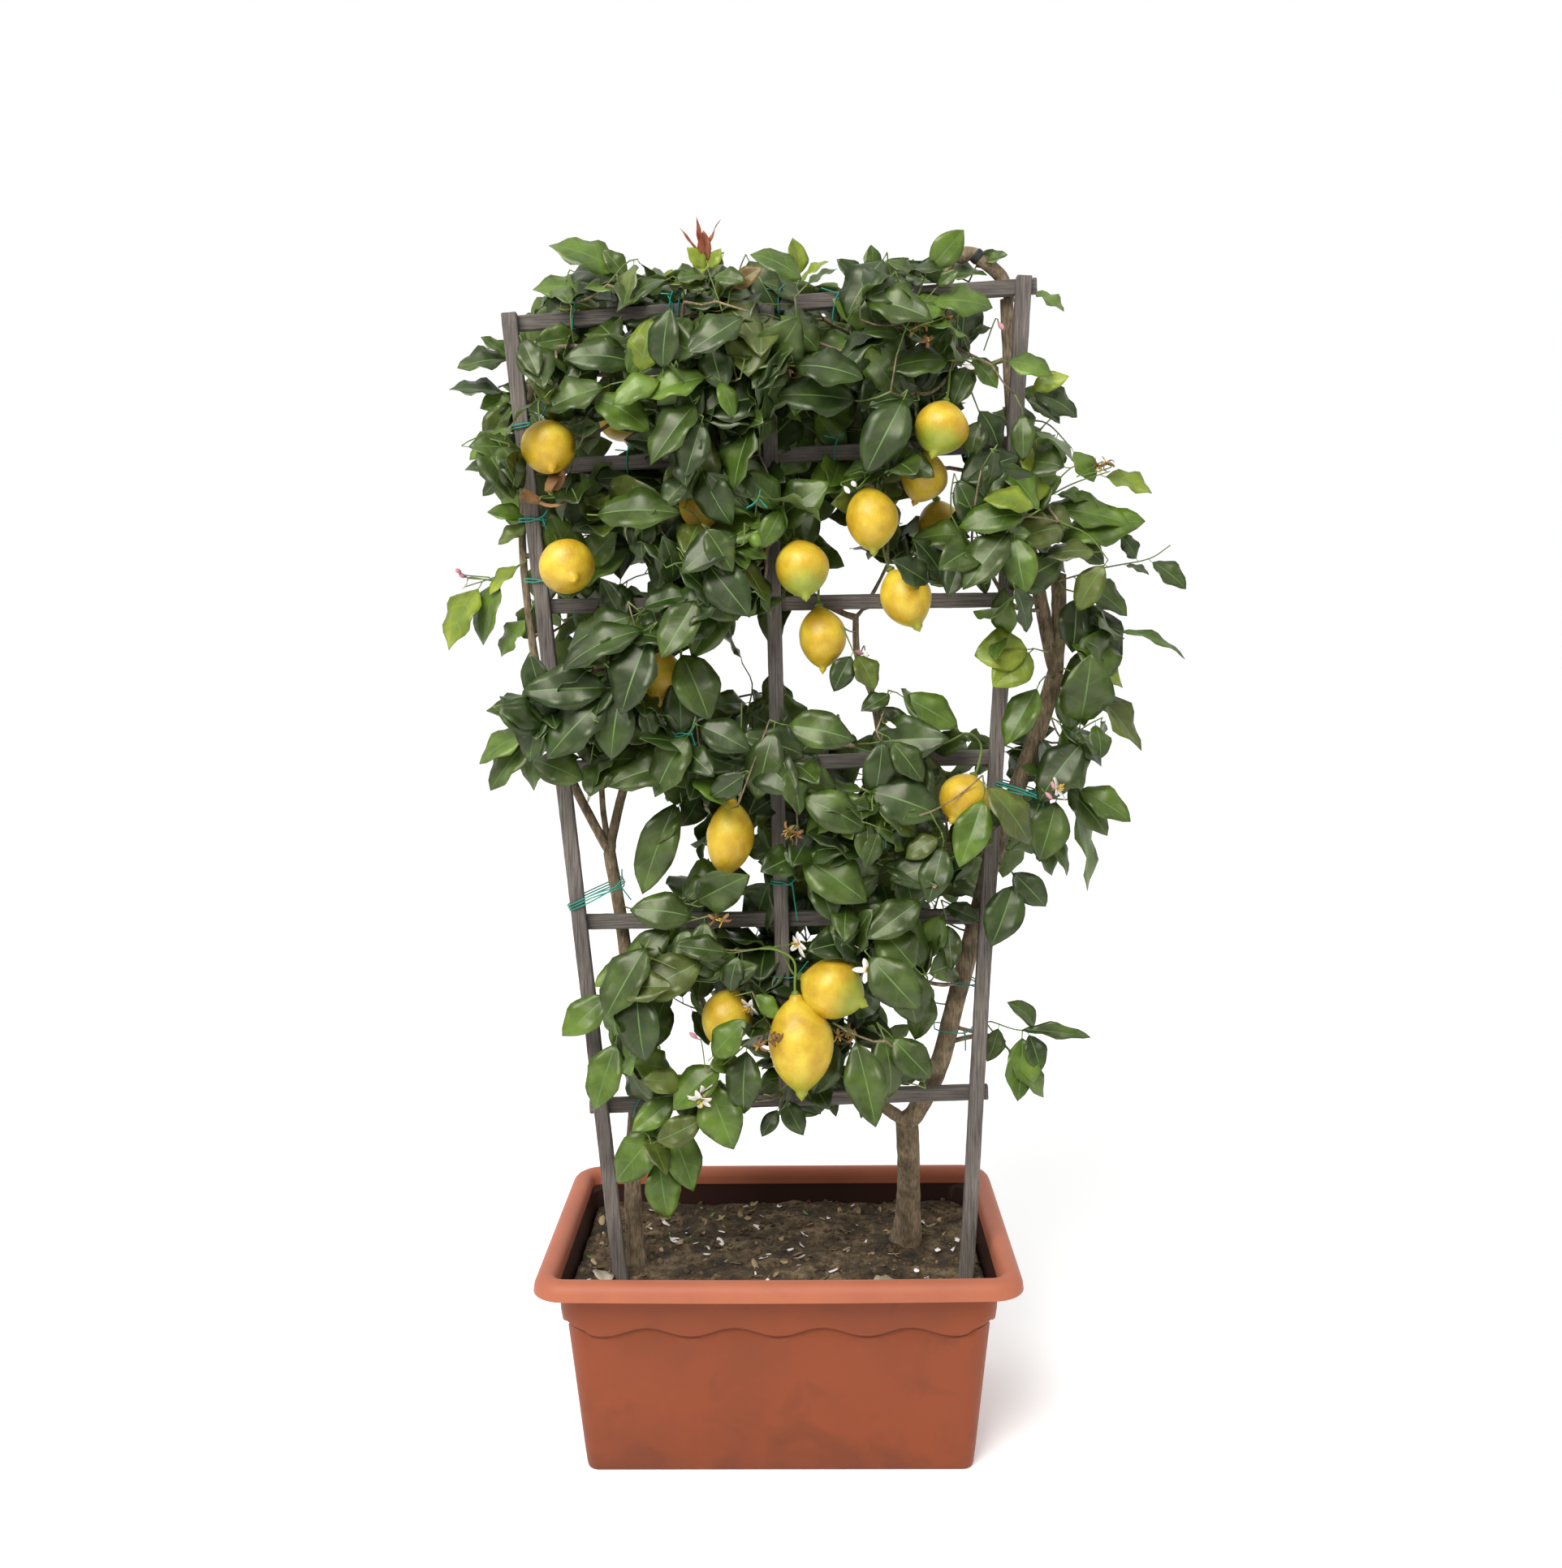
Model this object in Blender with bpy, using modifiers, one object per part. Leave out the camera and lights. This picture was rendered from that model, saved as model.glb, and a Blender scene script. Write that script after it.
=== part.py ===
"""A lemon tree in a rectangular plastic planter, trained flat on a batten trellis.

Metres, +Z up, front towards -Y. The origin is on the ground, under the middle of the planter.
"""

import math

import bmesh
import bpy
from mathutils import Matrix, Vector, noise

GAP = 0.0003  # clearance between solids that touch
TOUCH = GAP + 0.0002  # the same, with room for the facets of a curved face
WELD = 0.00002  # points nearer than this are one

# Planter: half length, half depth and height of each level that shapes it
RIM_HALF = (0.300, 0.200)
RIM_WIDTH = 0.029
RIM_HEIGHT = 0.025
RIM_CORNER = 0.040
PLANTER_HEIGHT = 0.270
BASE_HALF = (0.244, 0.1450)
BASE_CORNER = 0.015
BASE_BEVEL = 0.004
WALL_FLARE = 0.018  # how much the wall leans out from the base to the band
BAND_STAND = 0.007  # how far the band under the rim stands proud of the wall
BAND_FOOT = 0.194
BAND_CHAMFER = 0.004
WALL = 0.0035
WALL_CORNER = 0.020
INNER_CORNER = 0.028
FLOOR = 0.0055
SOIL_TOP = 0.226
SOIL_GAP = 0.002  # between the soil and the wall
CORNER_STEPS = 4

# Trellis: three uprights in front, six rails behind them
BATTEN_WIDTH = 0.018
BATTEN_THICK = 0.0125
BATTEN_BEVEL = 0.0010
UPRIGHT_Y = -0.085
RAIL_Y = UPRIGHT_Y + BATTEN_THICK + GAP
STAKE_FOOT = SOIL_TOP + 0.0022  # centre of a stake's square-cut end, so its low corner clears the soil
LEFT_UPRIGHT = ((-0.202, STAKE_FOOT), (-0.309, 1.426))
RIGHT_UPRIGHT = ((0.238, STAKE_FOOT), (0.300, 1.461))
MIDDLE_UPRIGHT = ((0.011, 0.445), (-0.004, 1.432))
# Each rail: height at the left and right upright, and how far its ends reach past them
RAILS = (
    (1.415, 1.452, 0.006, 0.017),
    (1.246, 1.269, 0.008, 0.008),
    (1.080, 1.083, 0.008, 0.008),
    (0.881, 0.891, 0.008, 0.008),
    (0.688, 0.692, 0.008, 0.008),
    (0.450, 0.466, 0.016, 0.016),
)

# Limbs: the points that each one's middle line passes, its first and last radius, and the
# limb that it grows from. A root flare widens the foot of the two stems.
LIMB_SIDES = 8
LIMB_STEPS = 2  # rings for each stretch between two points
FLARE_HEIGHT = 0.055
STEM_FOOT = SOIL_TOP + GAP
LIMBS = {
    "stem_left": (
        ((-0.187, -0.040, STEM_FOOT), (-0.190, -0.047, 0.358), (-0.180, -0.050, 0.466),
         (-0.192, -0.052, 0.657), (-0.209, -0.052, 0.772)),
        (0.0115, 0.0078), 0.006, None),
    "bough_left_outer": (
        ((-0.209, -0.052, 0.772), (-0.254, -0.050, 0.863), (-0.284, -0.052, 0.948),
         (-0.299, -0.052, 1.047), (-0.307, -0.052, 1.157), (-0.297, -0.052, 1.303),
         (-0.280, -0.050, 1.400)),
        (0.0062, 0.0036), 0.0, "stem_left"),
    "bough_left_middle": (
        ((-0.209, -0.048, 0.772), (-0.217, -0.042, 0.826), (-0.219, -0.034, 0.872)),
        (0.0042, 0.0036), 0.0, "stem_left"),
    "bough_left_inner": (
        ((-0.209, -0.052, 0.772), (-0.196, -0.050, 0.830), (-0.184, -0.046, 0.872)),
        (0.0064, 0.0055), 0.0, "stem_left"),
    "stem_right": (
        ((0.171, 0.022, STEM_FOOT), (0.172, 0.008, 0.300), (0.170, -0.010, 0.360),
         (0.167, -0.022, 0.410)),
        (0.0155, 0.0150), 0.007, None),
    "bough_right_leader": (
        ((0.167, -0.022, 0.410), (0.190, -0.038, 0.446), (0.211, -0.046, 0.507),
         (0.230, -0.050, 0.592), (0.250, -0.050, 0.665), (0.266, -0.050, 0.738),
         (0.291, -0.050, 0.820), (0.334, -0.046, 0.935), (0.348, -0.044, 0.992)),
        (0.0128, 0.0110), 0.0, "stem_right"),
    "bough_right_upper": (
        ((0.348, -0.044, 0.992), (0.331, -0.048, 1.076), (0.305, -0.052, 1.189),
         (0.296, -0.052, 1.258), (0.288, -0.052, 1.360), (0.284, -0.052, 1.440)),
        (0.0090, 0.0080), 0.0, "bough_right_leader"),
    "bough_right_arch": (
        ((0.284, -0.052, 1.440), (0.278, -0.055, 1.466), (0.252, -0.064, 1.484),
         (0.230, -0.062, 1.497), (0.210, -0.056, 1.484)),
        (0.0082, 0.0080), 0.0, "bough_right_upper"),
    "bough_right_stub": (
        ((0.348, -0.044, 0.992), (0.353, -0.042, 1.050), (0.352, -0.042, 1.113)),
        (0.0096, 0.0094), 0.0, "bough_right_leader"),
    "bough_centre_low": (
        ((0.167, -0.022, 0.410), (0.134, -0.036, 0.436), (0.098, -0.042, 0.482)),
        (0.0088, 0.0066), 0.0, "stem_right"),
    "bough_centre_high": (
        ((0.134, -0.046, 0.905), (0.121, -0.048, 0.972), (0.104, -0.048, 1.011),
         (0.102, -0.046, 1.062)),
        (0.0050, 0.0040), 0.0, None),
    "bough_right_low": (
        ((0.214, -0.046, 0.520), (0.248, -0.052, 0.532), (0.288, -0.054, 0.528)),
        (0.0034, 0.0026), 0.0, "bough_right_leader"),
}

# Foliage masses: the middle and the half size of each, along x, y and z.
# Front masses hang before the trellis, rear ones behind it, and side ones beyond its uprights.
FRONT_FACE = UPRIGHT_Y - BATTEN_THICK / 2 - 0.0015
REAR_FACE = RAIL_Y + BATTEN_THICK / 2 + 0.0015
MASS_CUTS = 3
SMALL_MASS = 0.08  # a mass that is narrower than this each way has fewer faces
LUMP_SIZE = 0.085
LUMP_SHARE = 0.30
MASSES = {
    "front_top_left": ((-0.225, -0.125, 1.385), (0.100, 0.070, 0.090)),
    "front_top_middle": ((-0.050, -0.125, 1.375), (0.105, 0.075, 0.110)),
    "front_top_right": ((0.150, -0.125, 1.385), (0.105, 0.075, 0.090)),
    "front_upper_left": ((-0.250, -0.125, 1.225), (0.085, 0.065, 0.080)),
    "front_upper_middle": ((-0.050, -0.130, 1.165), (0.110, 0.072, 0.110)),
    "front_upper_right": ((0.165, -0.130, 1.180), (0.100, 0.072, 0.092)),
    "front_shoulder_right": ((0.262, -0.130, 1.090), (0.045, 0.050, 0.085)),
    "front_waist_left": ((-0.190, -0.130, 0.985), (0.115, 0.075, 0.105)),
    "front_waist_middle": ((-0.030, -0.125, 0.868), (0.092, 0.070, 0.122)),
    "front_waist_right": ((0.180, -0.125, 0.845), (0.095, 0.070, 0.120)),
    "front_low_left": ((-0.152, -0.125, 0.600), (0.098, 0.070, 0.150)),
    "front_low_middle": ((-0.030, -0.125, 0.540), (0.070, 0.065, 0.100)),
    "front_low_right": ((0.118, -0.125, 0.595), (0.110, 0.072, 0.130)),
    "front_foot_left": ((-0.142, -0.120, 0.402), (0.062, 0.050, 0.072)),
    "rear_top_left": ((-0.245, 0.010, 1.365), (0.098, 0.110, 0.130)),
    "rear_top_middle": ((-0.085, 0.010, 1.385), (0.110, 0.115, 0.145)),
    "rear_top_right": ((0.140, 0.010, 1.385), (0.150, 0.115, 0.128)),
    "rear_upper_left": ((-0.255, 0.010, 1.165), (0.105, 0.100, 0.130)),
    "rear_upper_middle": ((-0.060, 0.010, 1.165), (0.120, 0.110, 0.130)),
    "rear_upper_right": ((0.155, 0.005, 1.195), (0.140, 0.100, 0.090)),
    "rear_waist_left": ((-0.265, 0.005, 0.940), (0.110, 0.100, 0.095)),
    "rear_waist_middle": ((-0.015, 0.010, 0.860), (0.130, 0.100, 0.130)),
    "rear_waist_right": ((0.190, 0.010, 0.800), (0.125, 0.100, 0.145)),
    "rear_low_left": ((-0.135, 0.000, 0.590), (0.085, 0.085, 0.130)),
    "rear_low_right": ((0.060, 0.005, 0.560), (0.130, 0.090, 0.145)),
    "side_top_left": ((-0.350, -0.060, 1.300), (0.042, 0.070, 0.105)),
    "side_top_right": ((0.338, -0.045, 1.305), (0.036, 0.070, 0.105)),
    "side_upper_left": ((-0.358, -0.050, 1.090), (0.054, 0.065, 0.078)),
    "side_upper_right": ((0.385, -0.060, 1.200), (0.080, 0.080, 0.075)),
    "side_far_right": ((0.436, -0.055, 1.040), (0.070, 0.070, 0.110)),
    "side_waist_right": ((0.368, -0.050, 0.822), (0.075, 0.080, 0.128)),
    "side_low_right": ((0.335, -0.055, 0.515), (0.058, 0.055, 0.062)),
}

COLOURS = {
    "plastic": ((0.48, 0.14, 0.075), 0.55),
    "soil": ((0.055, 0.036, 0.024), 0.95),
    "timber": ((0.145, 0.125, 0.110), 0.85),
    "bark": ((0.180, 0.125, 0.080), 0.90),
    "leaf": ((0.035, 0.085, 0.022), 0.50),
}

tree = bpy.data.collections.new("potted_lemon_tree")
cutters = bpy.data.collections.new("cutters")


def clear_scene():
    for obj in list(bpy.data.objects):
        bpy.data.objects.remove(obj, do_unlink=True)
    for collection in (tree, cutters):
        bpy.context.scene.collection.children.link(collection)


def material(name):
    """A Principled material in one of the named colours."""
    colour, roughness = COLOURS[name]
    made = bpy.data.materials.new(name)
    made.use_nodes = True
    shader = made.node_tree.nodes["Principled BSDF"]
    shader.inputs["Base Color"].default_value = (*colour, 1.0)
    shader.inputs["Roughness"].default_value = roughness
    shader.inputs["Metallic"].default_value = 0.0
    return made


def add_object(name, bm, finish=None, collection=tree):
    """Turns a bmesh into a named object, with its normals facing out."""
    bmesh.ops.recalc_face_normals(bm, faces=bm.faces)
    mesh = bpy.data.meshes.new(name)
    bm.to_mesh(mesh)
    bm.free()
    obj = bpy.data.objects.new(name, mesh)
    collection.objects.link(obj)
    if finish:
        mesh.materials.append(finish)
    return obj


def evaluated_copy(obj, name, collection):
    """A plain mesh object of what obj looks like with its curve or modifiers worked out."""
    graph = bpy.context.evaluated_depsgraph_get()
    mesh = bpy.data.meshes.new_from_object(obj.evaluated_get(graph))
    made = bpy.data.objects.new(name, mesh)
    made.matrix_world = obj.matrix_world
    collection.objects.link(made)
    return made


def as_cutter(obj):
    obj.hide_render = True
    obj.display_type = "WIRE"
    return obj


def cut(obj, cutter):
    """Takes the cutter's shape out of obj."""
    boolean = obj.modifiers.new("cut_" + cutter.name, "BOOLEAN")
    boolean.operation = "DIFFERENCE"
    boolean.solver = "EXACT"
    boolean.object = cutter


def largest_island(obj):
    """Works out the modifiers of obj, and keeps the largest of the pieces that they leave."""
    settled = evaluated_copy(obj, obj.name + "_settled", cutters)
    bm = bmesh.new()
    bm.from_mesh(settled.data)
    bmesh.ops.remove_doubles(bm, verts=bm.verts, dist=WELD)
    bmesh.ops.dissolve_degenerate(bm, edges=bm.edges, dist=WELD)
    left = set(bm.verts)
    islands = []
    while left:
        island = set()
        newest = {min(left, key=lambda v: v.index)}
        while newest:
            island |= newest
            newest = {e.other_vert(v) for v in newest for e in v.link_edges} - island
        islands.append(island)
        left -= island
    islands.sort(key=len)
    for island in islands[:-1]:
        bmesh.ops.delete(bm, geom=list(island), context="VERTS")
    bm.to_mesh(obj.data)
    bm.free()
    obj.modifiers.clear()
    bpy.data.objects.remove(settled, do_unlink=True)


def overlap(a, b):
    """True where the boxes round two objects meet."""
    boxes = []
    for obj in (a, b):
        corners = [obj.matrix_world @ Vector(c) for c in obj.bound_box]
        boxes.append([(min(c[i] for c in corners), max(c[i] for c in corners)) for i in range(3)])
    return all(p[0] < q[1] and q[0] < p[1] for p, q in zip(*boxes))


# Planter and soil


def rounded_ring(bm, half, corner, z):
    """One closed ring of vertices round a rectangle with round corners."""
    verts = []
    for quarter in range(4):
        sx = 1 if quarter in (0, 3) else -1
        sy = 1 if quarter in (0, 1) else -1
        middle = Vector((sx * (half[0] - corner), sy * (half[1] - corner), z))
        for step in range(CORNER_STEPS + 1):
            angle = math.pi / 2 * (quarter + step / CORNER_STEPS)
            verts.append(bm.verts.new(middle + corner * Vector((math.cos(angle), math.sin(angle), 0))))
    return verts


def loft(levels):
    """A closed solid through rounded rectangles, each given by its half sizes, height and corner."""
    bm = bmesh.new()
    rings = [rounded_ring(bm, half, corner, z) for half, z, corner in levels]
    for lower, upper in zip(rings, rings[1:]):
        for i in range(len(lower)):
            j = (i + 1) % len(lower)
            bm.faces.new((lower[i], lower[j], upper[j], upper[i]))
    bm.faces.new(rings[0])
    bm.faces.new(rings[-1])
    return bm


def inset(half, by):
    return (half[0] - by, half[1] - by)


def wall_half(z):
    """Half size of the outer wall, which leans out evenly from the base."""
    return inset(BASE_HALF, -WALL_FLARE * z / BAND_FOOT)


def inner_half(z):
    return inset(wall_half(z), WALL)


def make_planter(finish):
    """Up the outside from the underside, over the rounded rim, and down the inside to the floor."""
    rim_foot = PLANTER_HEIGHT - RIM_HEIGHT
    band = inset(wall_half(BAND_FOOT), -BAND_STAND)
    levels = [(inset(BASE_HALF, BASE_BEVEL), 0.0, BASE_CORNER - BASE_BEVEL)]
    levels.append((BASE_HALF, BASE_BEVEL, BASE_CORNER))
    levels.append((wall_half(BAND_FOOT), BAND_FOOT, WALL_CORNER))
    levels.append((band, BAND_FOOT + BAND_CHAMFER, WALL_CORNER + BAND_STAND))
    levels.append((band, rim_foot, WALL_CORNER + BAND_STAND))
    levels.append((RIM_HALF, rim_foot, RIM_CORNER))
    for angle in (math.pi / 4, math.pi / 2):
        inward = RIM_WIDTH / 2 * (1 - math.cos(angle))
        levels.append((inset(RIM_HALF, inward), rim_foot + RIM_HEIGHT * math.sin(angle), RIM_CORNER))
    levels.append((inset(RIM_HALF, RIM_WIDTH), PLANTER_HEIGHT - RIM_HEIGHT / 2, INNER_CORNER))
    levels.append((inset(band, WALL), rim_foot, INNER_CORNER))
    levels.append((inner_half(FLOOR), FLOOR, BASE_CORNER))
    add_object("planter", loft(levels), finish)


def make_soil(finish):
    levels = []
    for z in (FLOOR + GAP, SOIL_TOP):
        levels.append((inset(inner_half(z), SOIL_GAP), z, INNER_CORNER))
    add_object("soil", loft(levels), finish)


# Trellis


def batten_box(start, end, y, grown):
    """A square-cut length of batten from one (x, z) point to another, fatter by grown all round."""
    start, end = Vector((start[0], y, start[1])), Vector((end[0], y, end[1]))
    along = (end - start).normalized()
    across = Vector((0, 1, 0)).cross(along)
    turn = Matrix((across, Vector((0, 1, 0)), along)).transposed().to_4x4()
    size = Vector((BATTEN_WIDTH, BATTEN_THICK, (end - start).length)) + Vector((2, 2, 2)) * grown
    bm = bmesh.new()
    bmesh.ops.create_cube(bm, size=1.0, matrix=Matrix.Diagonal((*size, 1)))
    bm.transform(Matrix.Translation((start + end) / 2) @ turn)
    return bm


def batten(name, start, end, y, finish):
    """Makes a batten with worn edges, and gives the room that it takes."""
    obj = add_object(name, batten_box(start, end, y, 0.0), finish)
    bevel = obj.modifiers.new("worn_edges", "BEVEL")
    bevel.width = BATTEN_BEVEL
    bevel.segments = 1
    return as_cutter(add_object("room_" + name, batten_box(start, end, y, TOUCH), collection=cutters))


def line_x(line, z):
    """Where an upright's middle line is at a height."""
    (x0, z0), (x1, z1) = line
    return x0 + (x1 - x0) * (z - z0) / (z1 - z0)


def make_trellis(finish):
    rooms = []
    uprights = {"left": LEFT_UPRIGHT, "middle": MIDDLE_UPRIGHT, "right": RIGHT_UPRIGHT}
    for side, (foot, top) in uprights.items():
        rooms.append(batten("upright_" + side, foot, top, UPRIGHT_Y, finish))
    for index, (z_left, z_right, past_left, past_right) in enumerate(RAILS, 1):
        left = (line_x(LEFT_UPRIGHT, z_left) - past_left, z_left)
        right = (line_x(RIGHT_UPRIGHT, z_right) + past_right, z_right)
        rooms.append(batten(f"rail_{index}", left, right, RAIL_Y, finish))
    return rooms


# Stems and boughs


def smooth_path(points, steps):
    """Points along a Catmull-Rom curve through the given ones."""
    points = [Vector(p) for p in points]
    padded = [2 * points[0] - points[1], *points, 2 * points[-1] - points[-2]]
    path = []
    for i in range(len(points) - 1):
        p0, p1, p2, p3 = padded[i : i + 4]
        for step in range(steps):
            t = step / steps
            path.append(
                0.5 * (2 * p1 + (p2 - p0) * t + (2 * p0 - 5 * p1 + 4 * p2 - p3) * t**2
                       + (3 * p1 - p0 - 3 * p2 + p3) * t**3))
    path.append(points[-1])
    return path


def limb_tube(name, points, radii, flare, grown, collection):
    """A tapering tube with filled caps along a smooth path, cut level at a stem's foot."""
    path = smooth_path(points, LIMB_STEPS)
    lengths = [0.0]
    for a, b in zip(path, path[1:]):
        lengths.append(lengths[-1] + (b - a).length)
    if grown:
        path[-1] = path[-1] + (path[-1] - path[-2]).normalized() * grown
    curve = bpy.data.curves.new(name, "CURVE")
    curve.dimensions = "3D"
    curve.bevel_depth = 1.0
    curve.bevel_resolution = (LIMB_SIDES - 4) // 2
    curve.use_fill_caps = True
    spline = curve.splines.new("POLY")
    spline.points.add(len(path) - 1)
    for point, place, length in zip(spline.points, path, lengths):
        share = length / lengths[-1]
        foot = max(0.0, 1 - length / FLARE_HEIGHT) ** 2
        point.co = (*place, 1)
        point.radius = radii[0] + (radii[1] - radii[0]) * share + flare * foot + grown
    obj = bpy.data.objects.new(name, curve)
    collection.objects.link(obj)
    bpy.context.view_layer.update()
    made = evaluated_copy(obj, name + "_mesh", collection)
    bpy.data.objects.remove(obj, do_unlink=True)
    made.name = name
    bm = bmesh.new()
    bm.from_mesh(made.data)
    bmesh.ops.remove_doubles(bm, verts=bm.verts, dist=WELD)
    if flare:
        level_foot(bm, points[0][2] - 2 * grown)
    bmesh.ops.recalc_face_normals(bm, faces=bm.faces)
    bm.to_mesh(made.data)
    bm.free()
    return made


def level_foot(bm, z):
    """Puts the first ring of a leaning stem flat on the soil."""
    ring = sorted(bm.verts, key=lambda v: v.co.z)[:LIMB_SIDES]
    for vert in ring:
        vert.co.z = z


def make_limbs(finish):
    """Every limb, each trimmed back from the ones before it, and the room that each one takes."""
    rooms = []
    for name, (points, radii, flare, parent) in LIMBS.items():
        obj = limb_tube(name, points, radii, flare, 0.0, tree)
        obj.data.materials.clear()
        obj.data.materials.append(finish)
        near = [room for room in rooms if overlap(obj, room)]
        for room in near:
            cut(obj, room)
        if near:
            largest_island(obj)
        rooms.append(as_cutter(limb_tube("room_" + name, points, radii, flare, TOUCH, cutters)))
    return rooms


# Foliage


def mass_faces():
    """Front and rear masses stop at the trellis's two faces, and touching ones part half-way."""
    planes = {name: [] for name in MASSES}
    for name, (centre, half) in MASSES.items():
        if name.startswith("front"):
            planes[name].append((Vector((0, FRONT_FACE, 0)), Vector((0, 1, 0))))
        if name.startswith("rear"):
            planes[name].append((Vector((0, REAR_FACE, 0)), Vector((0, -1, 0))))
    names = list(MASSES)
    for i, first in enumerate(names):
        for second in names[i + 1 :]:
            if {first.split("_")[0], second.split("_")[0]} == {"front", "rear"}:
                continue
            (c1, h1), (c2, h2) = MASSES[first], MASSES[second]
            if any(abs(c1[k] - c2[k]) > h1[k] + h2[k] for k in range(3)):
                continue
            way = Vector(c2) - Vector(c1)
            unit = way.normalized()
            reach = [math.sqrt(sum((h[k] * unit[k]) ** 2 for k in range(3))) for h in (h1, h2)]
            middle = Vector(c1) + way * reach[0] / sum(reach)
            planes[first].append((middle - unit * TOUCH, unit))
            planes[second].append((middle + unit * TOUCH, -unit))
    return planes


def lumpy_ball(seed, centre, half):
    """An uneven ball of leaves that fills the box of the given middle and half size."""
    bm = bmesh.new()
    bmesh.ops.create_cube(bm, size=2.0)
    cuts = MASS_CUTS - 1 if half[0] <= SMALL_MASS else MASS_CUTS
    bmesh.ops.subdivide_edges(bm, edges=bm.edges, cuts=cuts, use_grid_fill=True)
    shift = Vector((seed * 3.7, seed * 1.3, seed * 2.1))
    for vert in bm.verts:
        unit = vert.co.normalized()
        place = Vector(unit[k] * half[k] for k in range(3))
        lump = noise.noise(place / LUMP_SIZE + shift)
        vert.co = place * (1 + LUMP_SHARE * lump)
    low = [min(v.co[k] for v in bm.verts) for k in range(3)]
    high = [max(v.co[k] for v in bm.verts) for k in range(3)]
    for vert in bm.verts:
        for k in range(3):
            share = (vert.co[k] - low[k]) / (high[k] - low[k])
            vert.co[k] = centre[k] + half[k] * (2 * share - 1)
    return bm


def make_masses(finish, rooms):
    planes = mass_faces()
    for seed, (name, (centre, half)) in enumerate(MASSES.items(), 1):
        bm = lumpy_ball(seed, centre, half)
        for point, outward in planes[name]:
            geometry = bm.verts[:] + bm.edges[:] + bm.faces[:]
            bmesh.ops.bisect_plane(
                bm, geom=geometry, dist=WELD, plane_co=point, plane_no=outward, clear_outer=True)
            rim = [e for e in bm.edges if e.is_boundary]
            if rim:
                bmesh.ops.holes_fill(bm, edges=rim, sides=0)
        obj = add_object("foliage_" + name, bm, finish)
        bpy.context.view_layer.update()
        near = [room for room in rooms if overlap(obj, room)]
        for room in near:
            cut(obj, room)
        largest_island(obj)


def main():
    clear_scene()
    finishes = {name: material(name) for name in COLOURS}
    make_planter(finishes["plastic"])
    make_soil(finishes["soil"])
    rooms = make_trellis(finishes["timber"])
    rooms += make_limbs(finishes["bark"])
    make_masses(finishes["leaf"], rooms)


main()
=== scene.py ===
# %% [markdown]
# A lemon trained flat on a timber trellis, in a long plastic planter.
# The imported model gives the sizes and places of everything. This script dresses it: each plain solid
# is replaced by a finished piece that fills the same room. The frame is loaded first, and its box is
# kept, because the finished tree must not outgrow it.

# %% Load the frame
import math

import bpy
import numpy as np
from mathutils import Matrix, Vector, noise
from mathutils.bvhtree import BVHTree


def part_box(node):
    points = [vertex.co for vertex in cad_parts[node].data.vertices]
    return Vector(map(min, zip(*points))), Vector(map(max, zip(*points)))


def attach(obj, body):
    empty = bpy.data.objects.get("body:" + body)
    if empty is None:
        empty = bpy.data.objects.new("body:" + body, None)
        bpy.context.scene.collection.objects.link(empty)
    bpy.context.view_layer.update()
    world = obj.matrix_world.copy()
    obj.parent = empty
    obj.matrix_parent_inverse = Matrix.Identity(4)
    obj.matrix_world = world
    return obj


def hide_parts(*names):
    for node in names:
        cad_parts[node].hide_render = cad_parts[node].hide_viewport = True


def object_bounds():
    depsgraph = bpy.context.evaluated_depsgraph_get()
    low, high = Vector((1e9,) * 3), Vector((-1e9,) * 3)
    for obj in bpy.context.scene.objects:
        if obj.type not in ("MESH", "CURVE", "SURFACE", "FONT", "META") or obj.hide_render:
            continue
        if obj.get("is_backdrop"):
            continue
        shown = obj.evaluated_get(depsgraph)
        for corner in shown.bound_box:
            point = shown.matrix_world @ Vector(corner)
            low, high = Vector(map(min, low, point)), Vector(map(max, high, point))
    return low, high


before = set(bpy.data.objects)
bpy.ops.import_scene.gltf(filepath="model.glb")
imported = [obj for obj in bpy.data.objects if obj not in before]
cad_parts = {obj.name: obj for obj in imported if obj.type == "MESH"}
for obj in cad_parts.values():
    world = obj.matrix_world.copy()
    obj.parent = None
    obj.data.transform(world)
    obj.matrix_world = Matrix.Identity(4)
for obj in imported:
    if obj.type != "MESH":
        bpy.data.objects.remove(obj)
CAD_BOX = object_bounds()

MM = 0.001
print("frame:", len(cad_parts), "nodes, box", [tuple(round(c, 3) for c in corner) for corner in CAD_BOX])

# %% [markdown]
# A few small helpers do the repeated work. Colours are written as they are seen, in sRGB hex, and turned
# to the linear values that shaders need. One function adds any shader or geometry node, and one makes
# a mesh object from arrays, which suits shapes that follow a formula.

# %% Helpers for colours, nodes and meshes


def linear(hex_colour):
    """An sRGB hex colour such as "#A55D44" as linear red, green, blue and alpha."""
    parts = [int(hex_colour[i : i + 2], 16) / 255 for i in (1, 3, 5)]
    return (*(p / 12.92 if p <= 0.04045 else ((p + 0.055) / 1.055) ** 2.4 for p in parts), 1.0)


def socket_of(source):
    """A socket as it is, or a node's first output."""
    if isinstance(source, bpy.types.NodeSocket):
        return source
    return next(socket for socket in source.outputs if socket.enabled)


def add_node(tree, kind, inputs=None, stops=None, **settings):
    """Adds one node. An input is a number or colour, or another node or its socket to link from."""
    node = tree.nodes.new(kind)
    for name, value in settings.items():
        setattr(node, name, value)
    for place, (position, colour) in enumerate(stops or ()):
        ramp = node.color_ramp.elements
        stop = ramp[place] if place < 2 else ramp.new(position)
        stop.position, stop.color = position, linear(colour)
    for name, value in (inputs or {}).items():
        if isinstance(value, (bpy.types.NodeSocket, bpy.types.Node)):
            tree.links.new(socket_of(value), node.inputs[name])
        else:
            node.inputs[name].default_value = value
    return node


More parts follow.
